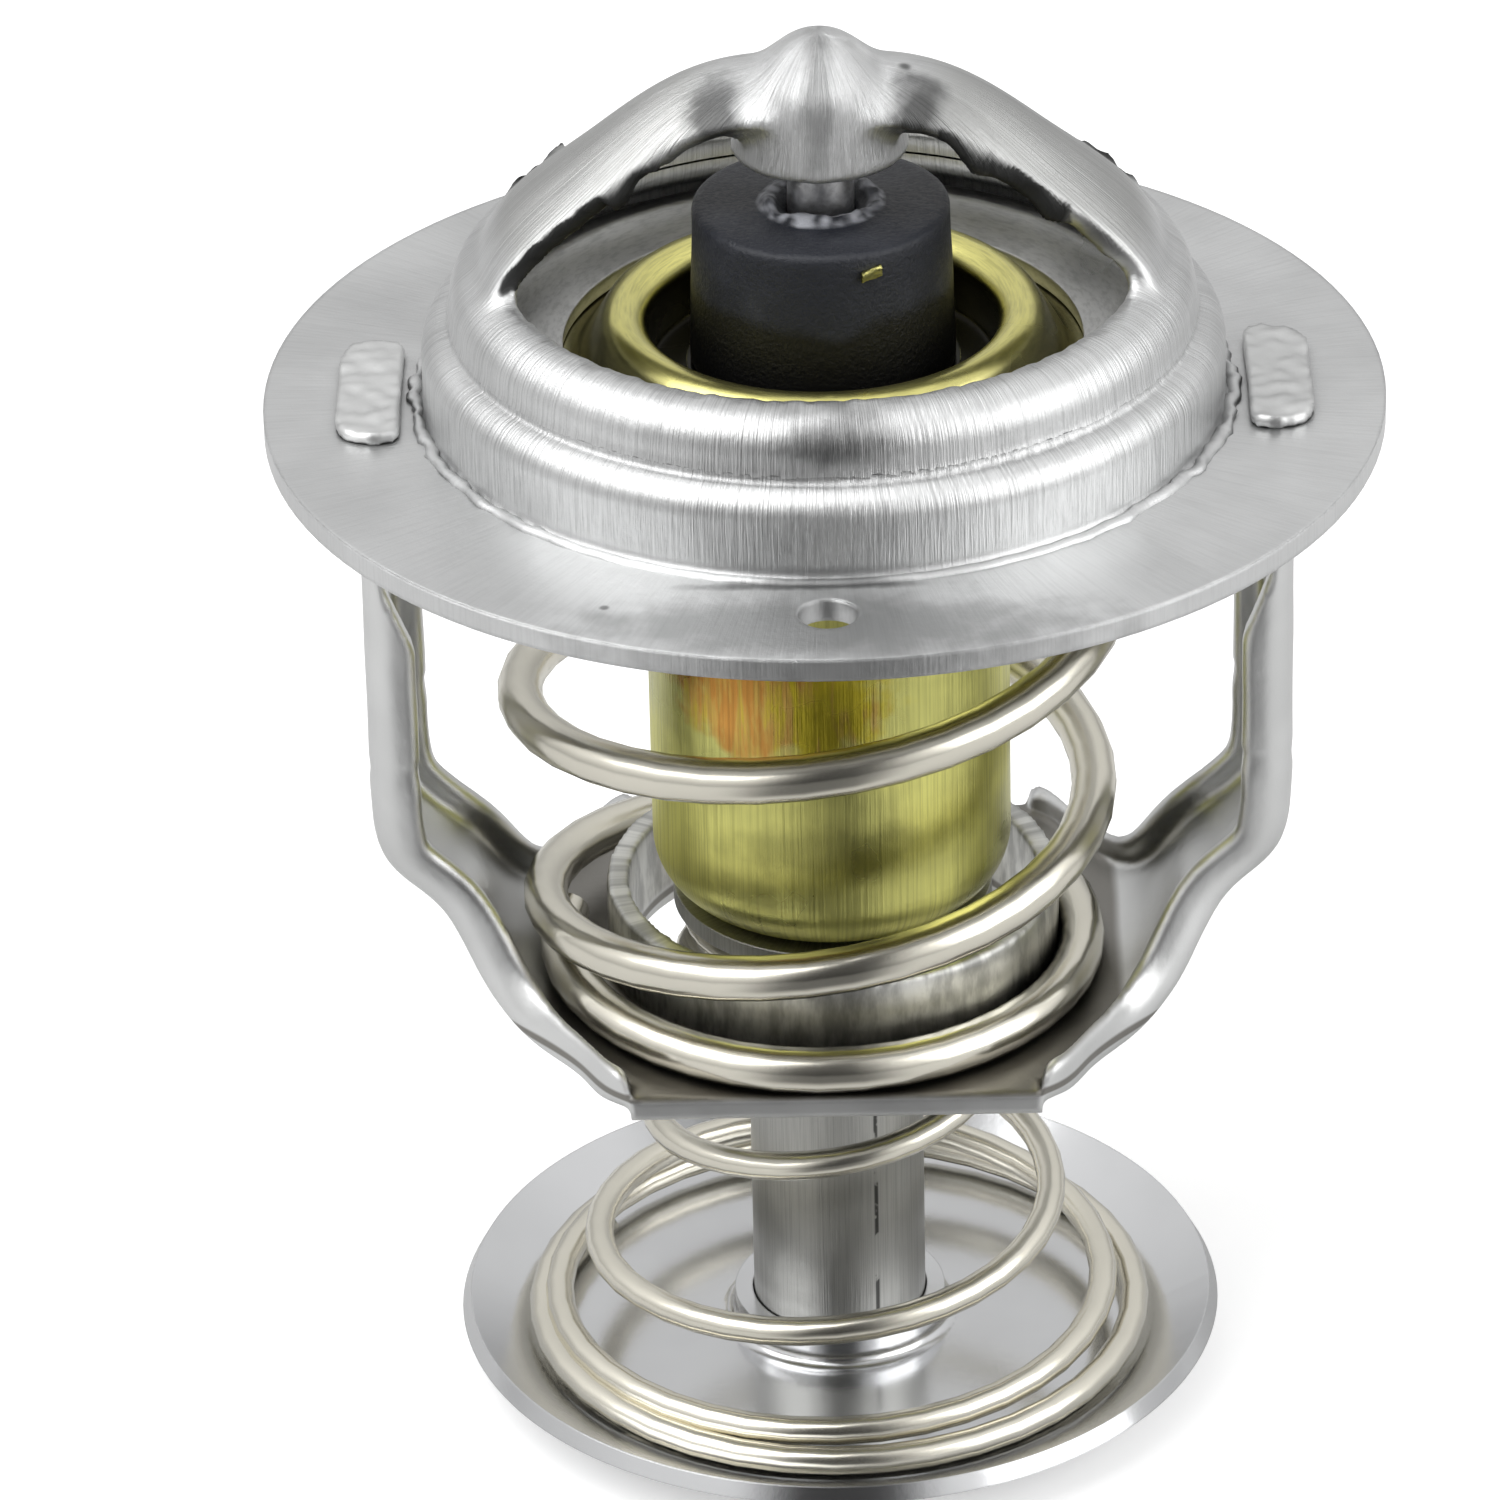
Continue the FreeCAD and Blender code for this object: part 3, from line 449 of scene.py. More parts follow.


# %% [markdown]
# ## Marks of use and painted shade
# Some pieces carry a mark of their own: heat tint on the brass case, scrapes on the drawn collar,
# oil on the base plate, a broken seam line up the stem. The valve's ring gets painted shade, near
# black inside it and darker olive on its outer slope. Each is a colour laid over the base by a
# mask made from the place on the piece.

# %% Marks of use and painted shade
def case_tint(tree, place, base):
    """Heat tint of orange, rose and yellow on the upper front of the brass case."""
    hot = use(tree, "patch", {"Place": place, "Centre": (-0.0026, -0.0083, -0.0122),
                              "Stretch": (0.75, 0.5, 1.0), "Size": 0.0046})
    streaks = use(tree, "polar_grain", {"Place": place, "Around": 14.0, "Height": 240.0})
    leftward = add(tree, "ShaderNodeSeparateXYZ", {0: place}).outputs["X"]
    drift = maths(tree, "ADD", maths(tree, "MULTIPLY", streaks.outputs["Value"], 1.1),
                  remap(tree, leftward, -5.0 * MM, 0.5 * MM, 0.10, -0.18))
    ramp = add(tree, "ShaderNodeValToRGB", {0: drift})
    ramp.color_ramp.elements[0].position = 0.40
    ramp.color_ramp.elements[0].color = (0.86, 0.68, 0.01, 1)
    ramp.color_ramp.elements[1].position = 0.68
    ramp.color_ramp.elements[1].color = (0.78, 0.28, 0.05, 1)
    rose = ramp.color_ramp.elements.new(0.56)
    rose.color = (0.80, 0.45, 0.10, 1)
    share = remap(tree, hot.outputs["Mask"], 0.0, 0.30, 0.0, 0.8)
    return mix_colour(tree, share, base, ramp.outputs[0])


def axis_distance(tree, parts):
    """Distance from the valve's axis, from the parts of a place."""
    flat = add(tree, "ShaderNodeCombineXYZ", {0: parts.outputs[0], 1: parts.outputs[1]})
    return add(tree, "ShaderNodeVectorMath", {0: flat.outputs[0]},
               operation="LENGTH").outputs["Value"]


def collar_tint(tree, place, base):
    """Darker, scraped collar round the element, and old oil on the plate under the spring."""
    parts = add(tree, "ShaderNodeSeparateXYZ", {0: place})
    scraped = use(tree, "polar_grain", {"Place": place, "Around": 9.0, "Height": 260.0})
    dark = mix_colour(tree, remap(tree, scraped.outputs["Value"], 0.35, 0.65, 0.0, 1.0),
                      (0.44, 0.44, 0.42, 1), (0.84, 0.84, 0.80, 1))
    near = remap(tree, axis_distance(tree, parts), 11.4 * MM, 11.8 * MM, 1.0, 0.0)
    wall = maths(tree, "MULTIPLY", near,
                 remap(tree, parts.outputs["Z"], -31.2 * MM, -30.6 * MM, 0.0, 1.0))
    oil = maths(tree, "MULTIPLY",
                remap(tree, parts.outputs["Z"], -31.5 * MM, -31.35 * MM, 0.0, 0.75),
                remap(tree, parts.outputs["Z"], -31.1 * MM, -30.9 * MM, 1.0, 0.0))
    return mix_colour(tree, wall, mix_colour(tree, oil, base, (0.10, 0.085, 0.06, 1)), dark)


def bridge_tint(tree, place, base):
    """The bridge's strips are duller than the dome and the socket."""
    parts = add(tree, "ShaderNodeSeparateXYZ", {0: place})
    darkened = maths(tree, "MULTIPLY",
                 remap(tree, parts.outputs["Z"], 8.0 * MM, 10.0 * MM, 0.0, 0.5),
                 remap(tree, axis_distance(tree, parts), 4.0 * MM, 7.0 * MM, 0.0, 1.0))
    return mix_colour(tree, darkened, base, (0.42, 0.42, 0.40, 1))


def seam_tint(tree, place, base):
    """The stem's rolled seam: a thin, broken, dark line up its front."""
    parts = add(tree, "ShaderNodeSeparateXYZ", {0: place})
    aside = maths(tree, "ABSOLUTE", maths(tree, "SUBTRACT", parts.outputs["X"], 1.9 * MM))
    broken = add(tree, "ShaderNodeTexNoise", {"Vector": place, "Scale": 900.0, "Detail": 3.0})
    seam = maths(tree, "MULTIPLY", maths(
        tree, "MULTIPLY", remap(tree, aside, 0.05 * MM, 0.14 * MM, 1.0, 0.0),
        remap(tree, broken.outputs[0], 0.46, 0.54, 0.0, 0.85)),
        maths(tree, "LESS_THAN", parts.outputs["Y"], 0.0))
    return mix_colour(tree, seam, base, (0.03, 0.03, 0.03, 1))


def crown_tint(tree, place, base):
    """Painted shade: near black inside the valve's raised ring, darker olive on its outer slope.
    """
    parts = add(tree, "ShaderNodeSeparateXYZ", {0: place})
    radius = axis_distance(tree, parts)
    slope = remap(tree, radius, 10.0 * MM, 11.0 * MM, 0.0, 0.75)
    darkened = mix_colour(tree, slope, base, (0.30, 0.28, 0.17, 1))
    inside = maths(tree, "MULTIPLY", remap(tree, radius, 8.30 * MM, 8.75 * MM, 1.0, 0.0),
                   remap(tree, parts.outputs["Z"], 3.9 * MM, 4.5 * MM, 1.0, 0.0))
    return mix_colour(tree, inside, darkened, (0.012, 0.011, 0.008, 1))


# %% [markdown]
# ## Finishes
# Each finish was set against the photograph: satin sheet, ground pin, smooth drawn wire, turned
# and drawn brass, a dull tube and a polished dish. Dark spots, stains as well as painted shadows
# and reflections, are given as centre in mm, stretch, size in mm and strength.

# %% Finishes
STEEL = (0.71, 0.715, 0.715)
EVERYWHERE = -99                # lines that start below the whole valve, in mm
pressed_steel = metal(
    "pressed_steel_satin", STEEL, 0.36, cloud=0.12, grain=1.0, bump=0.020,
    lines=(160.0, 300.0, 300.0, 2.2, 0.6), edge=0.30, shade_corners=True, tint=bridge_tint,
    # the first two dark spots are painted shadow in the creases where the strips meet the socket
    darken=[((4.7, -3.0, 16.0), (1.1, 0.5, 0.7), 2.0, 0.75),
            ((-5.0, -3.0, 16.0), (1.1, 0.5, 0.7), 2.0, 0.75),
            # painted reflection: a dark vertical streak down the socket's front, for the dark lens
            # side
            ((0, -2.6, 16.2), (1.6, 0.3, 0.35), 1.7, 0.45),
            ((4.1, -0.5, 17.4), (1, 1, 1), 0.45, 0.7),
            # painted reflection: a dark patch on the front of the dome's upper tier, for the dark
            # lens side
            ((0.2, -16.6, 6.2), (0.4, 0.5, 1.0), 1.6, 0.65),
            ((-1.0, -19.8, 0.0), (0.08, 1, 1), 0.6, 0.6),
            ((0, -23.8, 0.0), (0.24, 1, 1), 4.2, 0.40),
            ((14.0, 4.2, 10.0), (0.7, 1.2, 1), 1.7, 0.9),
            ((-14.0, 4.2, 10.0), (0.7, 1.2, 1), 1.7, 0.9),
            ((-10.3, -21.6, 0.0), (1, 1, 1), 0.32, 0.6)])
seat_steel = metal("seat_steel_satin", (0.58, 0.58, 0.57), 0.30, cloud=0.2,
                   lines=(20.0, 4000.0, 4000.0, 0.5, EVERYWHERE))
frame_steel = metal("frame_steel_satin", (0.76, 0.765, 0.76), 0.33, cloud=0.16, grain=1.0,
                    bump=0.016, edge=0.34, tint=collar_tint, shade_corners=True)
piston_steel = metal("piston_steel_ground", (0.88, 0.88, 0.88), 0.34, cloud=0.05,
                     lines=(4.0, 3000.0, 0.0, 2.0, EVERYWHERE), edge=0.08)
wire_steel = metal("spring_wire_drawn", (0.77, 0.74, 0.645), 0.23, cloud=0.08, grain=0.4,
                   bump=0.006, edge=0.0)
# the valve brass gets painted shade inside its raised ring and on the ring's outer slope
valve_brass = metal("valve_brass_turned", (0.82, 0.77, 0.28), 0.26, cloud=0.12, grain=0.5,
                    bump=0.008, lines=(6.0, 7000.0, 7000.0, 0.6, EVERYWHERE), edge=0.12,
                    tint=crown_tint)
case_brass = metal("case_brass_drawn", (0.90, 0.88, 0.29), 0.34, cloud=0.42, grain=1.0,
                   bump=0.014, lines=(60.0, 90.0, 0.0, 2.0, EVERYWHERE), tint=case_tint, edge=0.1,
                   # the case's two dark spots are painted shadow and reflection of the spring coil
                   # across it
                   scale=160.0, darken=[((0.5, -8.6, -20.8), (0.2, 0.3, 1), 1.8, 0.35),
                                        ((-4.0, -7.6, -25.0), (0.5, 0.3, 0.6), 1.6, 0.35)])
stem_steel = metal("stem_steel_dull", (0.52, 0.52, 0.50), 0.34, cloud=0.18, grain=1.0,
                   bump=0.012, lines=(60.0, 150.0, 0.0, 1.4, EVERYWHERE), edge=0.1,
                   tint=seam_tint)
dish_steel = metal("dish_steel_polished", (0.69, 0.695, 0.705), 0.18, cloud=0.08, grain=0.6,
                   bump=0.008, edge=0.12)
for node, material in (
        ("flange_bridge", pressed_steel), ("seat_ring", seat_steel), ("lower_frame", frame_steel),
        ("piston", piston_steel), ("main_spring", wire_steel), ("main_valve", valve_brass),
        ("wax_case", case_brass), ("guide_bush", valve_brass), ("bypass_stem", stem_steel),
        ("bypass_spring", wire_steel), ("bypass_valve", dish_steel)):
    dress(node, material)
print("metals dressed")

# %% [markdown]
# ## Rubber, wax and plastic
# Moulded rubber is nearly black, matt and slightly bloomed, with scuffs that catch the light.
# The wax and the backing ring are hidden inside, but they still get their own look.

# %% Soft and plain materials
def plain(name, colour, rough, bump, scale, scuff=0.0, subsurface=0.0, oily=None):
    """Non-metal with grain, and pale scuffs if wanted. It is wet and black below oily, in mm."""
    material = bpy.data.materials.new(name)
    tree = tree_of(material)
    place = add(tree, "ShaderNodeTexCoord").outputs["Object"]
    uneven = use(tree, "mottle", {"Place": place, "Scale": scale})
    soft = use(tree, "soft_edge", {"Place": place, "Width": 0.2 * MM})
    pale = tuple(min(1.0, c * 3.0 + 0.04) for c in colour)
    rubbed = maths(tree, "ADD", remap(tree, uneven.outputs["Cloud"], 0.45, 0.75, 0.0, scuff),
                   maths(tree, "MULTIPLY", soft.outputs["Mask"], 0.35))
    base = mix_colour(tree, rubbed, (*colour, 1), (*pale, 1))
    roughness = remap(tree, uneven.outputs["Grain"], 0.3, 0.7, rough - 0.08, rough + 0.08)
    if oily is not None:
        parts = add(tree, "ShaderNodeSeparateXYZ", {0: place})
        tide = add(tree, "ShaderNodeTexNoise", {"Vector": place, "Scale": 260.0, "Detail": 4.0})
        level = maths(tree, "ADD", parts.outputs["Z"], maths(
            tree, "MULTIPLY", maths(tree, "SUBTRACT", tide.outputs[0], 0.5), 2.2 * MM))
        wet = remap(tree, level, (oily - 0.5) * MM, (oily + 0.5) * MM, 1.0, 0.0)
        base = mix_colour(tree, wet, base, (0.003, 0.003, 0.003, 1))
        roughness = mix_value(tree, wet, roughness, 0.38)
        # the marked lip turns pale grey: torn rubber, with a painted sheen
        torn = add(tree, "ShaderNodeAttribute", attribute_name="torn").outputs["Fac"]
        base = mix_colour(tree, torn, base, (0.44, 0.45, 0.49, 1))
    relief = add(tree, "ShaderNodeBump", {
        "Strength": 1.0, "Distance": bump * MM, "Height": uneven.outputs["Grain"],
        "Normal": soft.outputs["Normal"]})
    shader = add(tree, "ShaderNodeBsdfPrincipled", {
        "Base Color": base, "Normal": relief.outputs[0], "Subsurface Weight": subsurface,
        "Subsurface Scale": 0.002, "Roughness": roughness})
    shader.inputs["Base Color"].default_value = (*colour, 1)
    shader.inputs["Roughness"].default_value = rough
    add(tree, "ShaderNodeOutputMaterial", {"Surface": shader.outputs[0]})
    return material


cap_rubber = plain("cap_rubber_black", (0.016, 0.018, 0.025), 0.45, 0.07, 300.0, scuff=0.30,
                   oily=6.3)
dress("rubber_cap", cap_rubber)
dress("rubber_sleeve", plain("sleeve_rubber_black", (0.02, 0.02, 0.02), 0.5, 0.03, 300.0))
dress("wax_charge", plain("wax_dull", (0.55, 0.50, 0.40), 0.45, 0.05, 200.0, subsurface=0.4))
dress("backing_ring", plain("hard_plastic_white", (0.80, 0.80, 0.78), 0.35, 0.01, 400.0))
print("other materials dressed")

# %% [markdown]
# ## Modelling helpers
# Every new piece starts as a primitive or a curve and is shaped in edit mode. The helpers below
# do what is needed again and again: deselect, move vertices by place, apply a modifier, and hand
# a finished piece to the body that carries it.

# %% Helpers for pieces
def deselect_all():
    """Object mode with nothing selected."""
    if bpy.context.object and bpy.context.object.mode != "OBJECT":
        bpy.ops.object.mode_set(mode="OBJECT")
    bpy.ops.object.select_all(action="DESELECT")


def activate(piece):
    """Makes one piece the only selected and the active one."""
    deselect_all()
    piece.select_set(True)
    bpy.context.view_layer.objects.active = piece


def push(piece, move):
    """Moves every vertex by move(place in mm), which gives millimetres."""
    for vertex in piece.data.vertices:
        vertex.co += Vector(move(vertex.co / MM)) * MM


def apply_modifier(piece, kind, **settings):
    """Adds one modifier and applies it."""
    activate(piece)
    made = piece.modifiers.new(kind.lower(), kind)
    for name, value in settings.items():
        setattr(made, name, value)
    bpy.ops.object.modifier_apply(modifier=made.name)


def finish_piece(piece, body, material, angle=40.0):
    """Smooth shading, material and carrier body for a finished piece."""
    activate(piece)
    bpy.ops.object.transform_apply(location=True, rotation=True, scale=True)
    bpy.ops.object.shade_smooth_by_angle(angle=math.radians(angle))
    piece.data.materials.clear()
    piece.data.materials.append(material)
    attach(piece, body)
    print("%-16s %6d faces, rides on %s" % (piece.name, len(piece.data.polygons), body))
    return piece


def lathe(name, rings, segments):
    """Closed ring made by extruding a circle through (radius, height) pairs in mm."""
    deselect_all()
    radius, height = rings[0]
    bpy.ops.mesh.primitive_circle_add(vertices=segments, radius=radius * MM,
                                      location=(0, 0, height * MM))
    piece = bpy.context.object
    piece.name = name
    bpy.ops.object.transform_apply(location=True, rotation=True, scale=True)
    bpy.ops.object.mode_set(mode="EDIT")
    bpy.ops.mesh.select_all(action="SELECT")
    for (r0, z0), (r1, z1) in zip(rings, rings[1:]):
        bpy.ops.mesh.extrude_region_move(TRANSFORM_OT_translate={"value": (0, 0, (z1 - z0) * MM)})
        bpy.ops.transform.resize(value=(r1 / r0, r1 / r0, 1), center_override=(0, 0, z1 * MM))
    bpy.ops.mesh.select_all(action="DESELECT")
    bpy.ops.mesh.select_non_manifold()
    bpy.ops.mesh.bridge_edge_loops()
    bpy.ops.mesh.select_all(action="SELECT")
    bpy.ops.mesh.normals_make_consistent(inside=False)
    bpy.ops.object.mode_set(mode="OBJECT")
    return piece


def wobble(place, size, seed=0.0):
    """Noise from -1 to 1 at a place in mm, with features of about the given size in mm."""
    return noise.noise(Vector(place) / size + Vector((seed, seed * 1.7, 0)))


# %% [markdown]
# ## Springs
# A coil spring is drawn wire wound on a mandrel: its end turns lie flat and are closed, the
# turns between rise evenly, and the cut end is a plain flat face. Each spring is a curve with a
# round bevel, made into a mesh.

# %% Springs
STEPS_PER_TURN = 40
MAIN_WIRE = 1.12
MAIN_HEIGHTS = [(-0.28, -30.13, 0), (0.42, -30.13, 0), (0.62, -29.0, 11.42),
                (3.04, -1.36, 11.42), (3.24, -0.22, 0), (3.92, -0.22, 0)]
MAIN_RADII = [(-0.28, 13.0), (0.25, 12.7), (0.75, 13.35), (2.25, 14.5), (3.92, 14.3)]
MAIN_ASIDE = [(-0.28, -0.5), (0.25, -0.35), (0.75, -0.9), (2.0, -0.85), (3.92, -0.5)]
MAIN_AHEAD = [(-0.28, -0.4), (0.0, -0.7), (0.25, -0.6), (0.6, -0.3), (0.9, 0.0), (3.92, 0.0)]
BYPASS_WIRE = 0.72
BYPASS_STATIONS = [(-0.355, -51.83, 15.1), (0, -51.83, 15.1), (1, -50.88, 13.85),
                   (2, -46.43, 11.5), (3, -38.53, 8.5), (4.25, -28.72, 6.8), (5.0, -28.72, 6.8)]


def sloped(stations):
    """Adds to (turn, value) stations the slopes that keep the curve between them."""
    steps = [(b[1] - a[1]) / (b[0] - a[0]) for a, b in zip(stations, stations[1:])]
    slopes = [0.0]
    for before, after in zip(steps, steps[1:]):
        slopes.append(0.0 if before * after <= 0 else 2 * before * after / (before + after))
    slopes.append(0.0)
    return [(turn, value, slope) for (turn, value), slope in zip(stations, slopes)]


def along(stations, turn):
    """Value at a turn between (turn, value, slope) stations."""
    for (t0, v0, s0), (t1, v1, s1) in zip(stations, stations[1:]):
        if turn <= t1:
            width = t1 - t0
            u = (turn - t0) / width
            return (v0 * (1 + 2 * u) * (1 - u) ** 2 + v1 * u * u * (3 - 2 * u)
                    + s0 * width * u * (1 - u) ** 2 - s1 * width * u * u * (1 - u))
    return stations[-1][1]


def wound_wire(name, wire, heights, radii, aside=((0, 0, 0),), ahead=((0, 0, 0),)):
    """Wire wound round the axis, with flat cut ends. Its turns may be shifted along X and Y."""
    start, end = heights[0][0], heights[-1][0]
    count = int((end - start) * STEPS_PER_TURN)
    path = bpy.data.curves.new(name, "CURVE")
    path.dimensions = "3D"
    spline = path.splines.new("POLY")
    spline.points.add(count)
    for i, point in enumerate(spline.points):
        turn = start + (end - start) * i / count
        angle = math.radians(360 * turn - 90)
        radius = along(radii, turn)
        point.co = ((along(aside, turn) + radius * math.cos(angle)) * MM,
                    (along(ahead, turn) + radius * math.sin(angle)) * MM,
                    along(heights, turn) * MM, 1)
    path.bevel_depth = wire * MM
    path.bevel_resolution = 5
    path.use_fill_caps = True
    piece = bpy.data.objects.new(name, path)
    bpy.context.scene.collection.objects.link(piece)
    activate(piece)
    bpy.ops.object.convert(target="MESH")
    return bpy.context.object


main_spring = wound_wire("main_spring_wire", MAIN_WIRE, MAIN_HEIGHTS, sloped(MAIN_RADII),
                         sloped(MAIN_ASIDE), sloped(MAIN_AHEAD))
finish_piece(main_spring, "frame", wire_steel)
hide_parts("main_spring")
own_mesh(main_spring)
bypass_spring = wound_wire(
    "bypass_spring_wire", BYPASS_WIRE, sloped([(t, z) for t, z, r in BYPASS_STATIONS]),
    sloped([(t, r) for t, z, r in BYPASS_STATIONS]))
finish_piece(bypass_spring, "element", wire_steel)
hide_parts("bypass_spring")
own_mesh(bypass_spring)

# %% [markdown]
# ## Rubber cap
# The cap is moulded rubber with a lip that wipes the piston. On the real part the lip is torn
# and stands up unevenly round the steel, so its rings are pushed about with noise. A brass
# chip from the turning sticks to its side.

# %% Rubber cap
CAP_RINGS = [
    (4.56, 1.90), (6.20, 1.88), (6.38, 2.05), (6.39, 2.6), (6.36, 3.6), (6.32, 4.8), (6.28, 6.0),
    (6.24, 7.2), (6.20, 8.4), (6.17, 9.3), (6.16, 9.76), (6.11, 9.94), (5.98, 10.04),
    (5.72, 10.09), (5.0, 10.08), (4.2, 10.06), (3.6, 10.05), (3.15, 10.07), (2.95, 10.14),
    (2.82, 10.28), (2.66, 10.40), (2.48, 10.42), (2.32, 10.32), (2.16, 10.10), (1.95, 9.85),
    (1.70, 9.70), (1.68, 8.60), (4.56, 8.56)]
CAP_FACE_Z = 10.0               # all above this height belongs to the cap's face
CAP_FACE_R = 6.0
CAP_BORE_R = 4.6                # nothing inside this radius is dented
LIP_INNER, LIP_MIDDLE, LIP_OUTER = 1.9, 2.5, 3.3
LIP_REACH = 0.8                 # from the lip's middle to where its tears end
LIP_RISE, LIP_NICK = 0.42, 0.14    # how far tears lift it, in long and in short waves
LIP_SWAY = 0.40                 # how far they push it aside
# the lip's paleness is torn rubber with a painted sheen
LIP_PALE_Z, LIP_PALE_R = 10.12, 3.4    # the paler rubber lies above and inside these
FACE_DENT, SIDE_DENT = 0.05, 0.035
CHIP_SIZE = 0.5                 # side of the cube that the chip is made from
CHIP_TURN = math.radians(-68.5)    # its place round the axis
CHIP_R, CHIP_Z = 6.24, 9.05     # its distance from the axis and its height


def torn_lip(place):
    """Uneven, torn lip and a slightly dented body."""
    radius = math.hypot(place.x, place.y)
    out = Vector((place.x, place.y, 0)).normalized()
    if LIP_INNER < radius < LIP_OUTER and place.z > CAP_FACE_Z:
        share = 1.0 - abs(radius - LIP_MIDDLE) / LIP_REACH
        lift = LIP_RISE * wobble(place, 1.2, 3.0) + LIP_NICK * wobble(place, 0.5, 8.0)
        return Vector((0, 0, lift * share)) + out * (LIP_SWAY * wobble(place, 1.0, 5.0) * share)
    if radius < CAP_FACE_R and place.z > CAP_FACE_Z:
        return Vector((0, 0, FACE_DENT * wobble(place, 1.4, 2.0)))
    return out * (SIDE_DENT * wobble(place, 2.5)) if radius > CAP_BORE_R else Vector((0, 0, 0))


def mark_lip(piece):
    """Marks the torn lip, which is paler than the rest: torn rubber, with a painted sheen."""
    torn = piece.data.attributes.new("torn", "FLOAT", "POINT")
    for index, vertex in enumerate(piece.data.vertices):
        place = vertex.co / MM
        radius = math.hypot(place.x, place.y)
        if place.z > LIP_PALE_Z and radius < LIP_PALE_R:
            torn.data[index].value = min(1.0, max(0.0, 0.55 + 1.2 * wobble(place, 0.45, 6.0)))


cap = lathe("rubber_cap_torn", CAP_RINGS, 180)
mark_lip(cap)
push(cap, torn_lip)
finish_piece(cap, "element", cap_rubber, angle=60)
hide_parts("rubber_cap")


def add_chip():
    """Small curled brass chip on the cap's side."""
    deselect_all()
    bpy.ops.mesh.primitive_cube_add(size=CHIP_SIZE * MM, location=(0, 0, 0))
    chip = bpy.context.object
    chip.name = "brass_chip"
    bpy.ops.object.mode_set(mode="EDIT")
    bpy.ops.transform.resize(value=(2.0, 0.5, 1.0))
    bpy.ops.mesh.subdivide(number_cuts=3)
    bpy.ops.object.mode_set(mode="OBJECT")

    def curl(place):
        """Bends the chip along its length and crumples it."""
        return (0, -0.5 * place.x ** 2 + 0.12 * wobble(place, 0.25, 4.0),
                0.35 * place.x * abs(place.x) + 0.14 * wobble(place, 0.3, 9.0))

    push(chip, curl)
    for vertex in chip.data.vertices:
        place = Matrix.Rotation(CHIP_TURN + math.pi / 2, 4, "Z") @ vertex.co
        vertex.co = place + Vector((math.cos(CHIP_TURN), math.sin(CHIP_TURN), 0)) * CHIP_R * MM
        vertex.co.z += CHIP_Z * MM
    return finish_piece(chip, "element", valve_brass)


add_chip()

# %% [markdown]
# ## Bridge
# Flange, dome and bridge are one pressing, so no crease may show where the bridge leaves the
# ring or where it runs into its socket. The punch also tore the sheet: the cut faces under the
# bridge are dark and ragged. The upper part is a copy of the solid, remeshed, grown and shrunk
# again, which fills each inner corner with a soft radius. Its cut faces are then pushed about.

# %% Bridge and dome
SPLIT_Z = 4.62                  # the lower part stays plain below this height
SPLIT_LAP = 0.02                # and goes this far into the upper part
VOXEL = 0.20
CORNER_FILL = 0.75
STRIP_FOOT_Z = 7.6              # the bridge's cut edges start above this height
STRIP_FROM_X, STRIP_TO_X = 3.9, 15.8    # and lie between these distances from the middle
STRIP_BACK_Y = 2.0              # nothing nearer the middle line than this is a cut edge
BURR, NICK = 1.3, 0.12          # how far a torn edge hangs down, in long and in short waves
REAR_X = 12.3, 15.4             # the tears at the rear are near the ring, and burred outward
REAR_BURR, REAR_WAVE = 0.45, 1.1
FRONT_LEFT_X = -7.6             # at the front left, the tear is bad from here outward
FRONT_RIGHT_X = 5.6, 11.8       # and at the front right, between these
MILD_TEAR = 0.35                # of the rest
RING_EDGE_Z = 6.0, 8.2          # cut edge of the opening
RING_EDGE_R = 14.3, 15.9
RING_NICK = 0.09


def copy_of(node, name):
    """Merged copy of a CAD node's mesh."""
    piece = bpy.data.objects.new(name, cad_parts[node].data.copy())
    bpy.context.scene.collection.objects.link(piece)
    activate(piece)
    bpy.ops.mesh.customdata_custom_splitnormals_clear()
    bpy.ops.object.mode_set(mode="EDIT")
    bpy.ops.mesh.select_all(action="SELECT")
    bpy.ops.mesh.remove_doubles(threshold=0.004 * MM)
    bpy.ops.object.mode_set(mode="OBJECT")
    return piece


def keep_part(piece, height, above):
    """Cuts a piece at a height in mm and keeps one side."""
    activate(piece)
    bpy.ops.object.mode_set(mode="EDIT")
    bpy.ops.mesh.select_all(action="SELECT")
    bpy.ops.mesh.bisect(plane_co=(0, 0, height * MM), plane_no=(0, 0, 1),
                        clear_inner=above, clear_outer=not above)
    bpy.ops.object.mode_set(mode="OBJECT")


def voxel_remesh(piece):
    """Even mesh over the whole piece."""
    apply_modifier(piece, "REMESH", mode="VOXEL", voxel_size=VOXEL * MM)


def tear_amount(place):
    """How badly a stretch of the bridge's cut edge is torn, from 0 to 1."""
    if place.y > 0:
        worst = REAR_X[0] < abs(place.x) < REAR_X[1]
    elif place.x < 0:
        worst = place.x < FRONT_LEFT_X
    else:
        worst = FRONT_RIGHT_X[0] < place.x < FRONT_RIGHT_X[1]
    return 1.0 if worst else MILD_TEAR


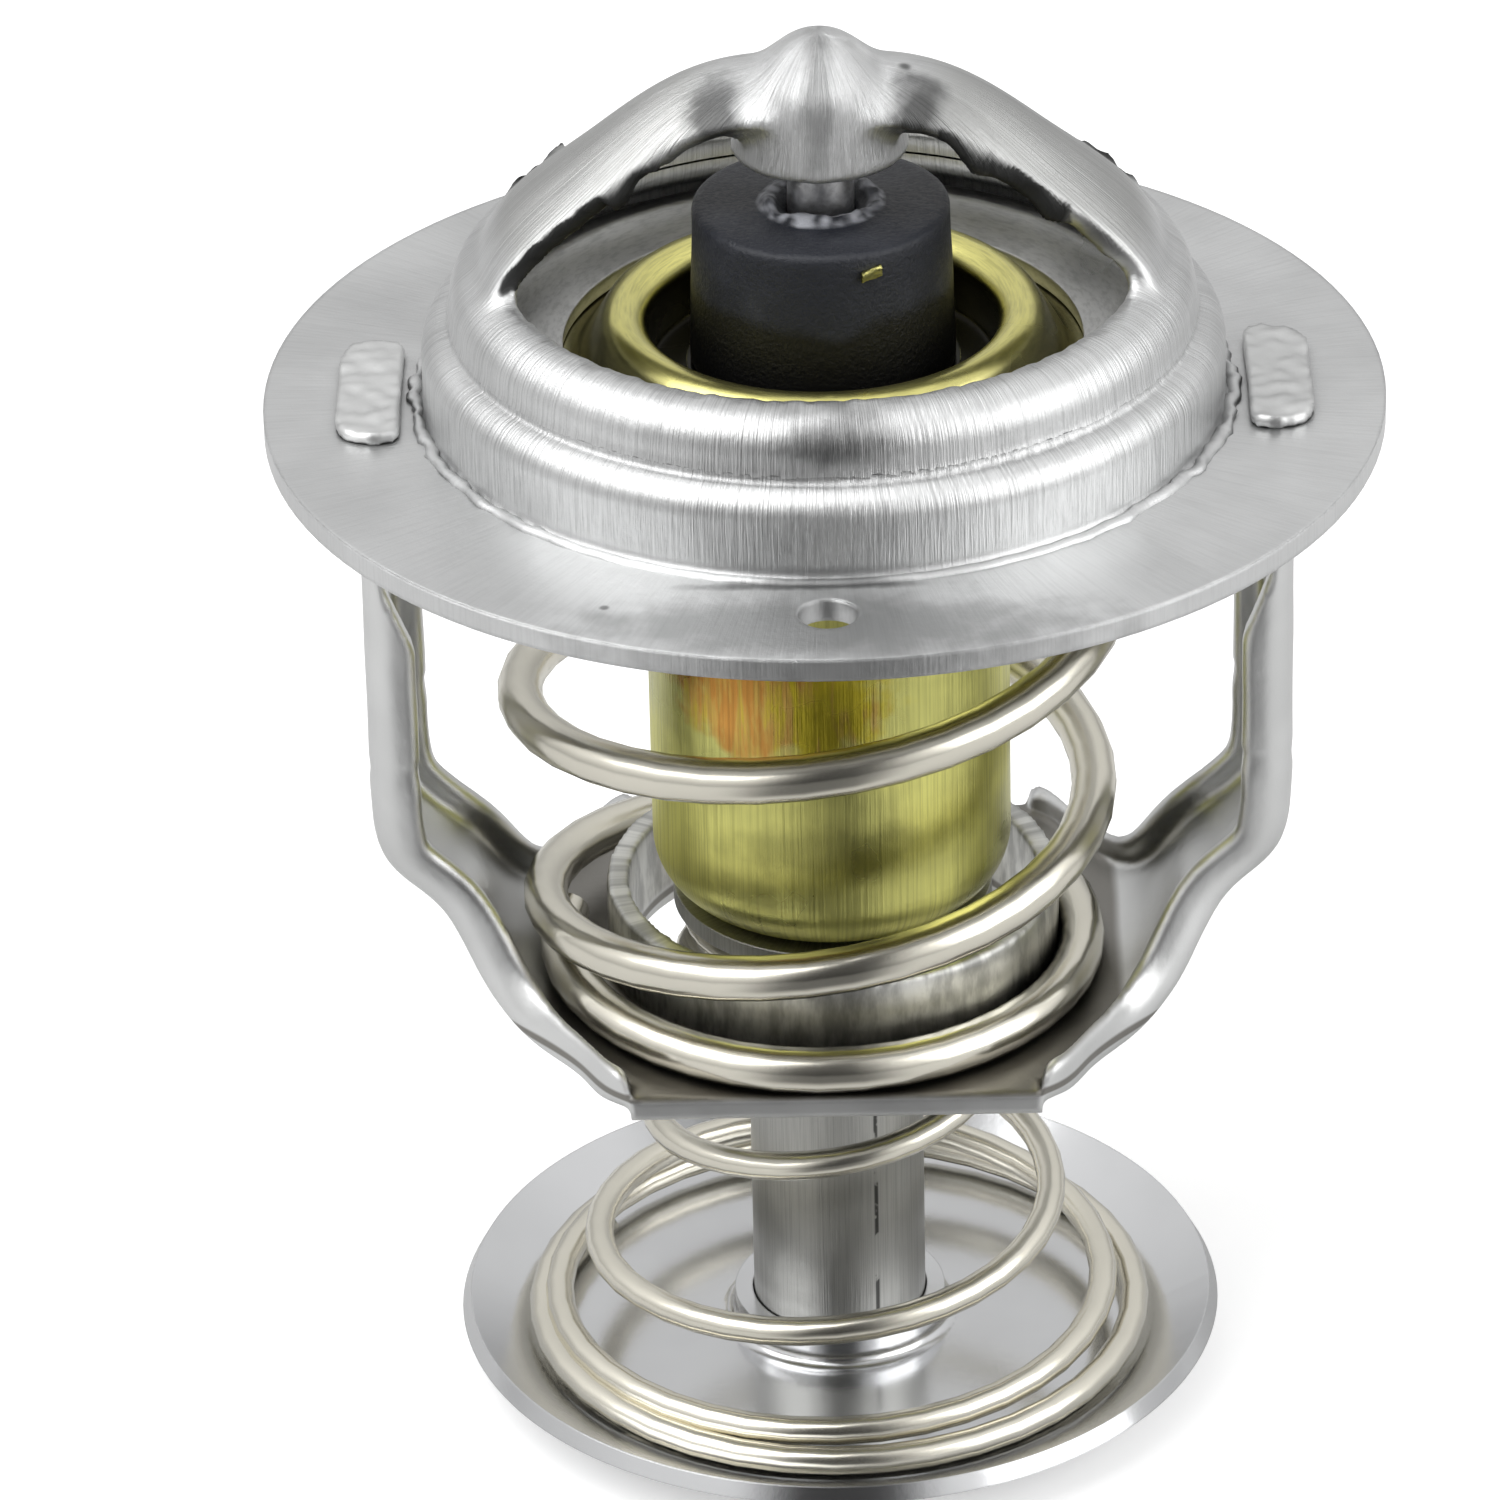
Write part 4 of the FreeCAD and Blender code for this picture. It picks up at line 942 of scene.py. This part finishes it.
def tear_edges(piece):
    """Pushes the cut faces of the bridge and the opening about, and marks them as torn."""
    mesh = piece.data
    torn = mesh.attributes.new("torn", "FLOAT", "POINT")
    moves = []
    for index, vertex in enumerate(mesh.vertices):
        place, side = vertex.co / MM, vertex.normal
        radius = math.hypot(place.x, place.y)
        mark, move = 0.0, Vector((0, 0, 0))
        along_strip = STRIP_FROM_X < abs(place.x) < STRIP_TO_X
        if place.z > STRIP_FOOT_Z and along_strip and abs(place.y) > STRIP_BACK_Y:
            amount = tear_amount(place)
            rear = place.y > 0 and amount == 1.0
            cut = min(1.0, max(0.0, (abs(side.y) - 0.30) / 0.35
                               - max(0.0, side.z) * (0.3 if rear else 1.6)))
            burr = BURR * max(0.0, wobble(place, 2.1, 2.0)) + NICK * wobble(place, 0.7, 6.0)
            if rear:
                burr = REAR_BURR + REAR_WAVE * wobble(place, 0.9, 2.0)
            outward, down = (0.7, -0.25) if rear else (0.4, 1.0)
            move = (Vector((0, math.copysign(outward * burr, place.y), -down * burr))
                    * cut * amount)
            mark = cut * min(1.0, max(0.0, amount * (1.15 + 0.8 * wobble(place, 1.6, 9.0))))
        elif (RING_EDGE_Z[0] < place.z < RING_EDGE_Z[1]
              and RING_EDGE_R[0] < radius < RING_EDGE_R[1]):
            mark = 0.6 * max(0.0, wobble(place, 1.0, 4.0) + 0.1)
            move = side * RING_NICK * wobble(place, 0.6, 3.0)
        torn.data[index].value = mark
        moves.append(move * MM)
    for vertex, move in zip(mesh.vertices, moves):
        vertex.co += move


bridge = copy_of("flange_bridge", "bridge_and_dome")
voxel_remesh(bridge)
for reach in (CORNER_FILL, -CORNER_FILL):
    apply_modifier(bridge, "DISPLACE", strength=reach * MM, mid_level=0.0)
    voxel_remesh(bridge)
keep_part(bridge, SPLIT_Z, above=True)
apply_modifier(bridge, "SMOOTH", factor=0.5, iterations=4)
tear_edges(bridge)
finish_piece(bridge, "frame", pressed_steel, angle=70)
plate = copy_of("flange_bridge", "flange_plate")
keep_part(plate, SPLIT_Z + SPLIT_LAP, above=False)
finish_piece(plate, "frame", pressed_steel, angle=30)
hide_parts("flange_bridge")
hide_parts("flange_bridge")

# %% [markdown]
# ## Lower frame
# The frame was punched and folded, so its edges are rounded on the die side and its lips are a
# little wavy. The heads of its tabs were hammered flat over the flange, which left shallow blows.
# It is a copy of the solid, remeshed and smoothed, and pushed about where the hammer fell.

# %% Lower frame
BLOW_DEPTH, BLOW_NICK = 0.16, 0.05    # of the hammer's blows, and of the marks in them
HEAD_FROM_Z = 0.3               # only the tab heads stand higher than this
LIP_WAVE = 0.05


def hammer(place):
    """Shallow blows on the tab heads and a slight wave in the lips."""
    if place.z > HEAD_FROM_Z:
        return Vector((0, 0, BLOW_DEPTH * (wobble(place, 0.8, 2.0) - 0.25)
                       + BLOW_NICK * wobble(place, 0.35, 4.0)))
    return Vector((wobble(place, 3.0, 1.0), wobble(place, 3.4, 5.0), 0)) * LIP_WAVE


pressing = copy_of("lower_frame", "frame_pressing")
voxel_remesh(pressing)
apply_modifier(pressing, "SMOOTH", factor=0.5, iterations=3)
push(pressing, hammer)
finish_piece(pressing, "frame", frame_steel, angle=60)
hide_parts("lower_frame")

# %% [markdown]
# ## Wrinkled seam
# Where the dome rises from the flange the sheet was upset into a small rough bead. It is
# strongest at the left and right, where the tabs were hammered down beside it.

# %% Seam bead
BEAD_R = 19.62                  # just outside the dome's foot
BEAD_WIRE_R = 0.34
BEAD_SIDE_X = 19.0              # from here on it is at its roughest
BEAD_LEAST = 0.12               # share of that roughness at the front and the back


def wrinkle(place):
    """Rough bead, strongest at both sides and nearly flat at the front and the back."""
    strong = BEAD_LEAST + 0.88 * min(1.0, abs(place.x) / BEAD_SIDE_X) ** 3
    out = Vector((place.x, place.y, 0)).normalized()
    rough = 0.30 * wobble(place, 0.7, 1.0) + 0.26 * wobble(place, 1.8, 5.0)
    lift = 0.16 * wobble(place, 0.9, 7.0) + 0.12 * wobble(place, 0.4, 3.0)
    sink = 0.16 * (1.0 - strong)
    return out * rough * strong + Vector((0, 0, strong * lift - sink))


deselect_all()
bpy.ops.mesh.primitive_torus_add(major_radius=BEAD_R * MM, minor_radius=BEAD_WIRE_R * MM,
                                 major_segments=520, minor_segments=12)
bead = bpy.context.object
bead.name = "seam_bead"
push(bead, wrinkle)
finish_piece(bead, "frame", pressed_steel, angle=70)
